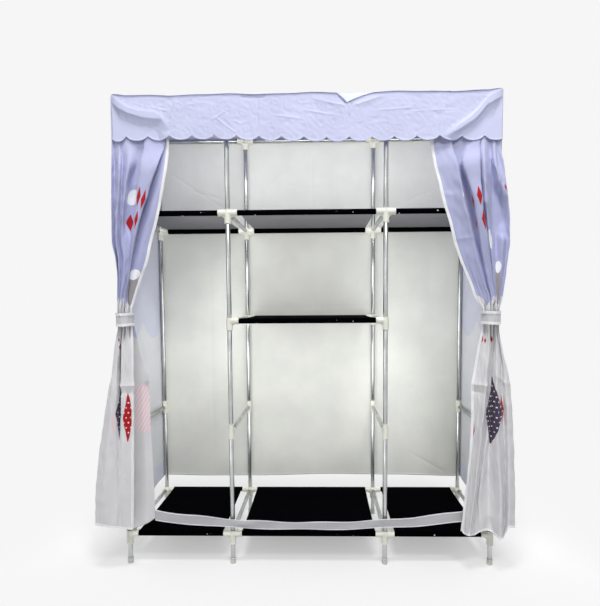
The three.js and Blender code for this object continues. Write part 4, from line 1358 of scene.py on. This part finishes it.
def curtain_grid(side, rows, hems, creases, seed):
    """The grid of a curtain, and its flat coordinates: across from the inner edge, and height."""
    heights = np.array([row[0] for row in rows]) * MM
    folds = turned_in(heights, np.array([row[1] for row in rows]) * MM)
    count = folds.shape[1]
    dense_z = np.linspace(CURTAIN_TOP, LOWEST_ROW, DENSE_ROWS)
    dense = between_rows(heights, folds.reshape(len(rows), -1), dense_z).reshape(-1, count, 2)
    lines = through_points(dense.transpose(1, 0, 2), STEPS_PER_FOLD).transpose(1, 0, 2)
    hems = (*hems, *[hems[-1]] * (count - len(hems)))
    hem = through_points(np.array(hems)[:, None] * MM, STEPS_PER_FOLD)[:, 0]
    down = np.linspace(0, 1, CURTAIN_ROWS)[:, None]
    z = CURTAIN_TOP + (hem[None, :] - CURTAIN_TOP) * down
    place = (CURTAIN_TOP - z) / (CURTAIN_TOP - LOWEST_ROW) * (DENSE_ROWS - 1)
    low = np.clip(place.astype(int), 0, DENSE_ROWS - 2)
    part = (place - low)[:, :, None]
    column = np.broadcast_to(np.arange(lines.shape[1])[None, :], low.shape)
    points = lines[low, column] * (1 - part) + lines[low + 1, column] * part
    gain = FOLD_GAIN * smooth_step(VALANCE_HEM - z, *GAIN_BELOW_HEM) * smooth_step(z, *GAIN_ABOVE_TIE)
    deeper = gain * np.maximum(points[:, :, 1] - SHALLOW, 0)
    points = points + np.stack([deeper * SIGHT_SLOPE, deeper], axis=2)
    steps = np.linalg.norm(np.diff(points, axis=1), axis=2).mean(axis=0)
    share = np.concatenate([[0], np.cumsum(steps)])
    share = np.broadcast_to((share / share[-1])[None, :], z.shape)
    across = share * CURTAIN_WIDTH
    off_tie = np.abs(z - TIE_MIDDLE)
    near_tie = np.exp(-off_tie / TIE_PLEAT_FADE) - np.exp(-off_tie / TIE_PLEAT_START)
    phase = FULL_TURN * share * TIE_PLEATS + 3 * np.sin(share * 9 + seed)
    pleats = TIE_PLEAT_HEIGHT * near_tie * np.sin(phase)
    loose = smooth_step(off_tie, 0.02, 0.16) * smooth_step(CURTAIN_TOP - z, 0, 0.1)
    soft = crumple(across, z * 0.75, seed, 26, 0.03, 0.2)
    ridged = np.abs(crumple(across, z, seed + 7, 18, 0.05, 0.25, 1.0))
    lift = pleats + (SOFT_WRINKLES * soft - RIDGED_WRINKLES * (ridged - 0.7)) * loose
    lift = lift + creased(across, z, [
        ((start[0] * CURTAIN_WIDTH, start[1]), (end[0] * CURTAIN_WIDTH, end[1]), width, height)
        for start, end, width, height in creases
    ])
    grid = np.stack([side_face(side) - side * points[:, :, 0], CURTAIN_BACK - points[:, :, 1], z], axis=2)
    normal = unit(np.cross(np.gradient(grid, axis=0), np.gradient(grid, axis=1))) * -side
    grid = grid - normal * lift[:, :, None]
    grid[:, :, 1] = np.minimum(grid[:, :, 1], CURTAIN_BACK - LEAST_OUT)
    return facing_out(grid, np.stack([across, z], axis=2), side < 0)


def edge_strip(grid, flat, width, along_rows, from_end):
    """A narrow strip of a grid along one of its edges, a little wider than the cloth's own edge."""
    if along_rows:
        grid, flat = grid.transpose(1, 0, 2), flat.transpose(1, 0, 2)
    if from_end:
        grid, flat = grid[:, ::-1], flat[:, ::-1]
    both = np.concatenate([grid, flat], axis=2)
    lengths = np.linalg.norm(np.diff(grid, axis=1), axis=2)
    along = np.concatenate([np.zeros((len(grid), 1)), np.cumsum(lengths, axis=1)], axis=1)
    wanted = np.linspace(0, width, EDGE_POINTS)
    made = np.zeros((len(grid), EDGE_POINTS + 1, both.shape[2]))
    for i in range(len(grid)):
        for k in range(both.shape[2]):
            made[i, 1:, k] = np.interp(wanted, along[i], both[i, :, k])
    step = unit(made[:, 1] - made[:, 2])
    made[:, 0] = made[:, 1] + step * EDGE_OVERHANG
    if from_end:
        made = made[:, ::-1]
    if along_rows:
        made = made.transpose(1, 0, 2)
    return made[:, :, :3], made[:, :, 3:]


def add_curtain(side, printed, rows, hems, creases, seed):
    word = SIDE_WORDS[side]
    name = f"curtain_{word}"
    grid, flat = curtain_grid(side, rows, hems, creases, seed)
    made = cloth(f"{name}_cloth", grid, flat, [printed])
    dress(made, None, name)
    pieces = []
    for label, width, along_rows, from_end in (
        ("binding", BINDING_WIDTH, False, side < 0),
        ("hem", HEM_WIDTH, True, True),
    ):
        strip, strip_flat = edge_strip(grid, flat, width, along_rows, from_end)
        piece = cloth(f"{name}_{label}", strip, strip_flat, [white], CLOTH + BINDING_EXTRA)
        dress(piece, None)
        pieces.append(piece)
    for piece in (made, *pieces):
        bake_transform(piece)


def ring_cloth(name, grid, flat, materials, thickness):
    """A closed band: its last column joins its first."""
    round_step = np.roll(grid, -1, axis=1) - np.roll(grid, 1, axis=1)
    normal = unit(np.cross(np.gradient(grid, axis=0), round_step))
    place = np.arange(grid[:, :, 0].size).reshape(grid.shape[:2])
    after = np.roll(place, -1, axis=1)
    corners = (place[:-1], place[1:], after[1:], after[:-1])
    fronts = np.stack([corner.ravel() for corner in corners], axis=1)
    faces = [fronts, fronts[:, ::-1] + place.size]
    for first, second in ((place[0], after[0]), (after[-1], place[-1])):
        faces.append(np.stack([first, second, second + place.size, first + place.size], axis=1))
    points = both_sides(grid, normal, thickness)
    return make_object(
        name, points, np.concatenate(faces), materials, np.concatenate([flat.reshape(-1, 2)] * 2)
    )


# A tie in plan: how far its middle stands out, and how far it reaches to the front and to the back of that
TIE_OUT = 18.3 * MM
TIE_FRONT = 37.4 * MM
TIE_REAR = 16 * MM
TIE_COLUMNS = 220
TIE_ROWS = 60
TIE_BINDING_ROWS = 13
TIE_FOLDS = 9
TIE_FOLD_HEIGHT = 0.8 * MM
TIE_WAIST = 1.1 * MM
TIE_SWELL = 1.2 * MM
TIE_TILT = 0.75 * MM


def add_tie(side, half_width, centre):
    word = SIDE_WORDS[side]
    name = f"tie_{word}"
    low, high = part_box(name)
    turn = (np.arange(TIE_COLUMNS) * FULL_TURN / TIE_COLUMNS)[None, :]
    z = np.linspace(high.z, low.z, TIE_ROWS)[:, None]
    share = (high.z - z) / (high.z - low.z)
    out = np.where(np.sin(turn) > 0, TIE_FRONT, TIE_REAR) * np.sin(turn)
    folds = TIE_FOLD_HEIGHT * np.sin(turn * TIE_FOLDS) * np.sin(math.pi * share)
    waist = TIE_WAIST * np.sin(math.pi * share)
    swell = TIE_SWELL * np.sin(share * math.pi * 3 + turn)
    across = centre + (half_width - waist) * np.cos(turn)
    depth = TIE_OUT + out + np.where(np.sin(turn) > 0.2, folds + swell * 0.4, 0)
    gz = z + TIE_TILT * np.sin(turn * 2 + 1)
    grid = np.stack([side_face(side) - side * across, CURTAIN_BACK - depth, gz], axis=2)
    length = np.linalg.norm(np.roll(grid[0], -1, axis=0) - grid[0], axis=1)
    across_flat = np.concatenate([[0], np.cumsum(length)[:-1]])
    flat = np.stack([np.broadcast_to(across_flat[None, :], gz.shape), gz], axis=2)
    grid, flat = facing_out(grid, flat, side < 0)
    band = ring_cloth(f"{name}_band", grid, flat, [tie_grey], CLOTH)
    dress(band, None, name)
    edges = []
    for label, rows in (("top", slice(TIE_BINDING_ROWS)), ("bottom", slice(-TIE_BINDING_ROWS, None))):
        edge = ring_cloth(f"{name}_binding_{label}", grid[rows], flat[rows], [white], CLOTH + BINDING_EXTRA)
        dress(edge, None)
        edges.append(edge)
    for piece in (band, *edges):
        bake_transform(piece)


add_tie(-1, 28.6 * MM, 31 * MM)
add_tie(1, 31.5 * MM, 33.5 * MM)
add_curtain(-1, printed_left, LEFT_ROWS, LEFT_HEM, LEFT_CREASES, 3)
add_curtain(1, printed_right, RIGHT_ROWS, RIGHT_HEM, RIGHT_CREASES, 17)


# The photo's camera, the floor and the light

CAMERA_PLACE = (0.0603, -1.9026, 0.914)
YAW, PITCH, ROLL = (math.radians(angle) for angle in (-1.30, -3.74, -0.36))
LENS = 30.28
SENSOR = 36
SHIFT = (-0.0183, 0.0575)


def camera_turn():
    forward = Vector((math.sin(YAW) * math.cos(PITCH), math.cos(YAW) * math.cos(PITCH), math.sin(PITCH)))
    right = Vector((math.cos(YAW), -math.sin(YAW), 0))
    up = right.cross(forward)
    level_right = right * math.cos(ROLL) + up * math.sin(ROLL)
    level_up = up * math.cos(ROLL) - right * math.sin(ROLL)
    return Matrix((level_right, level_up, -forward)).transposed().to_4x4()


def add_camera():
    data = bpy.data.cameras.new("photo_camera")
    data.sensor_fit = "HORIZONTAL"
    data.sensor_width = SENSOR
    data.lens = LENS
    data.shift_x, data.shift_y = SHIFT
    data.clip_start = 0.05
    made = bpy.data.objects.new("photo_camera", data)
    made.matrix_world = Matrix.Translation(CAMERA_PLACE) @ camera_turn()
    bpy.context.scene.collection.objects.link(made)
    bpy.context.scene.camera = made


def background_rays(tree):
    """1 for the rays that see the white background: the camera's own, and those off metal."""
    path = tree.nodes.new("ShaderNodeLightPath")
    total = path.outputs["Is Camera Ray"]
    for kind in ("Is Glossy Ray", "Is Transmission Ray"):
        either = tree.nodes.new("ShaderNodeMath")
        either.operation = "MAXIMUM"
        tree.links.new(total, either.inputs[0])
        tree.links.new(path.outputs[kind], either.inputs[1])
        total = either.outputs[0]
    return total


# The floor: half its side, where it turns plain white to the sides, to the front and back, and ahead, the
# share of white that it has everywhere, and its tone for light that bounces off it
FLOOR_HALF = 14
WHITE_ACROSS = (0.75, 1.15)
WHITE_AWAY = (0.42, 0.85)
WHITE_AHEAD = (-0.08, 0.42)
AHEAD_SHARE = 0.7
WHITE_SHARE = 0.4
FLOOR_MIDDLE_Y = 0.05
BOUNCE_TONE = (0.7, 0.7, 0.7)


def add_floor():
    """A white floor that keeps the shadow near the wardrobe and is plain white further off."""
    net = Net("studio_floor")
    place = net.node("ShaderNodeNewGeometry").outputs["Position"]
    x, y, _ = net.node("ShaderNodeSeparateXYZ", {0: place}).outputs
    seen = background_rays(net.tree)
    across = net.ramp(net.math("ABSOLUTE", x), *WHITE_ACROSS)
    away = net.ramp(net.math("ABSOLUTE", net.minus(y, FLOOR_MIDDLE_Y)), *WHITE_AWAY)
    ahead = net.times(net.ramp(net.times(y, -1.0), *WHITE_AHEAD), AHEAD_SHARE)
    far = net.math("MAXIMUM", net.math("MAXIMUM", across, away), ahead)
    whitened = net.plus(WHITE_SHARE, net.times(far, 1 - WHITE_SHARE))
    tone = net.mix(net.noise(place, 35, 3), (0.92, 0.92, 0.92), (0.95, 0.95, 0.95))
    net.shade({
        "Base Color": net.mix(seen, BOUNCE_TONE, tone),
        "Roughness": 0.75,
        "Specular IOR Level": 0.2,
    })
    glow = net.node("ShaderNodeEmission", {"Color": (*FLOOR_WHITE, 1)})
    surfaces = {0: net.times(whitened, seen), 1: net.shader.outputs[0], 2: glow.outputs[0]}
    chosen = net.node("ShaderNodeMixShader", surfaces)
    net.put(net.tree.nodes["Material Output"].inputs["Surface"], chosen.outputs[0])
    corners = [(x * FLOOR_HALF, y * FLOOR_HALF, 0) for x, y in ((-1, -1), (1, -1), (1, 1), (-1, 1))]
    make_object("studio_floor", corners, [(0, 1, 2, 3)], [net.material])


# Lamps: name, place, target, size and power. The two inside stand in for the light that the pale cover
# passes on
LAMPS = (
    ("key", (0.8, -2.5, 3.4), (0, 0, 0.95), (0.8, 0.6), 46),
    ("fill", (-1.9, -3.1, 1.0), (0, 0, 0.5), (1.4, 1.4), 13),
    ("top", (0.0, -1.45, 4.6), (0, -0.2, 0.9), (1.1, 0.8), 110),
    ("inside_top", (0.01, -0.12, 1.5), (0.01, 0.27, 1.38), (1.15, 0.12), 2.2),
    ("inside", (0.01, -0.12, 0.8), (0.01, 0.3, 0.8), (1.0, 0.9), 4.0),
    ("back_glow", (0.3, 2.6, 2.6), (0, 0, 0.9), (2.4, 1.6), 42),
    ("side_glow_-1", (-2.8, 1.0, 2.2), (-0.6, 0.1, 0.9), (1.4, 1.4), 20),
    ("side_glow_1", (2.8, 1.0, 2.2), (0.6, 0.1, 0.9), (1.4, 1.4), 20),
)
LOW_LIGHT = (0.9, 0.92, 0.95, 1)
LOW_LIGHT_STRENGTH = 0.14


def add_lamp(name, place, target, size, power):
    data = bpy.data.lights.new(name, "AREA")
    data.shape = "RECTANGLE"
    data.size, data.size_y = size
    data.energy = power
    made = bpy.data.objects.new(name, data)
    made.location = place
    made.rotation_euler = (Vector(target) - Vector(place)).to_track_quat("-Z", "Y").to_euler()
    made.visible_camera = False
    bpy.context.scene.collection.objects.link(made)


def add_world():
    """A low even light, with plain white behind the wardrobe."""
    world = bpy.data.worlds.new("studio")
    world.use_nodes = True
    tree = world.node_tree
    white_behind = tree.nodes.new("ShaderNodeBackground")
    for shader, colour, strength in (
        (tree.nodes["Background"], LOW_LIGHT, LOW_LIGHT_STRENGTH),
        (white_behind, (*FLOOR_WHITE, 1), 1.0),
    ):
        shader.inputs["Color"].default_value = colour
        shader.inputs["Strength"].default_value = strength
    chosen = tree.nodes.new("ShaderNodeMixShader")
    tree.links.new(background_rays(tree), chosen.inputs[0])
    tree.links.new(tree.nodes["Background"].outputs[0], chosen.inputs[1])
    tree.links.new(white_behind.outputs[0], chosen.inputs[2])
    tree.links.new(chosen.outputs[0], tree.nodes["World Output"].inputs["Surface"])
    bpy.context.scene.world = world


add_camera()
add_floor()
add_world()
for lamp in LAMPS:
    add_lamp(*lamp)
bpy.context.scene.view_settings.view_transform = "Standard"
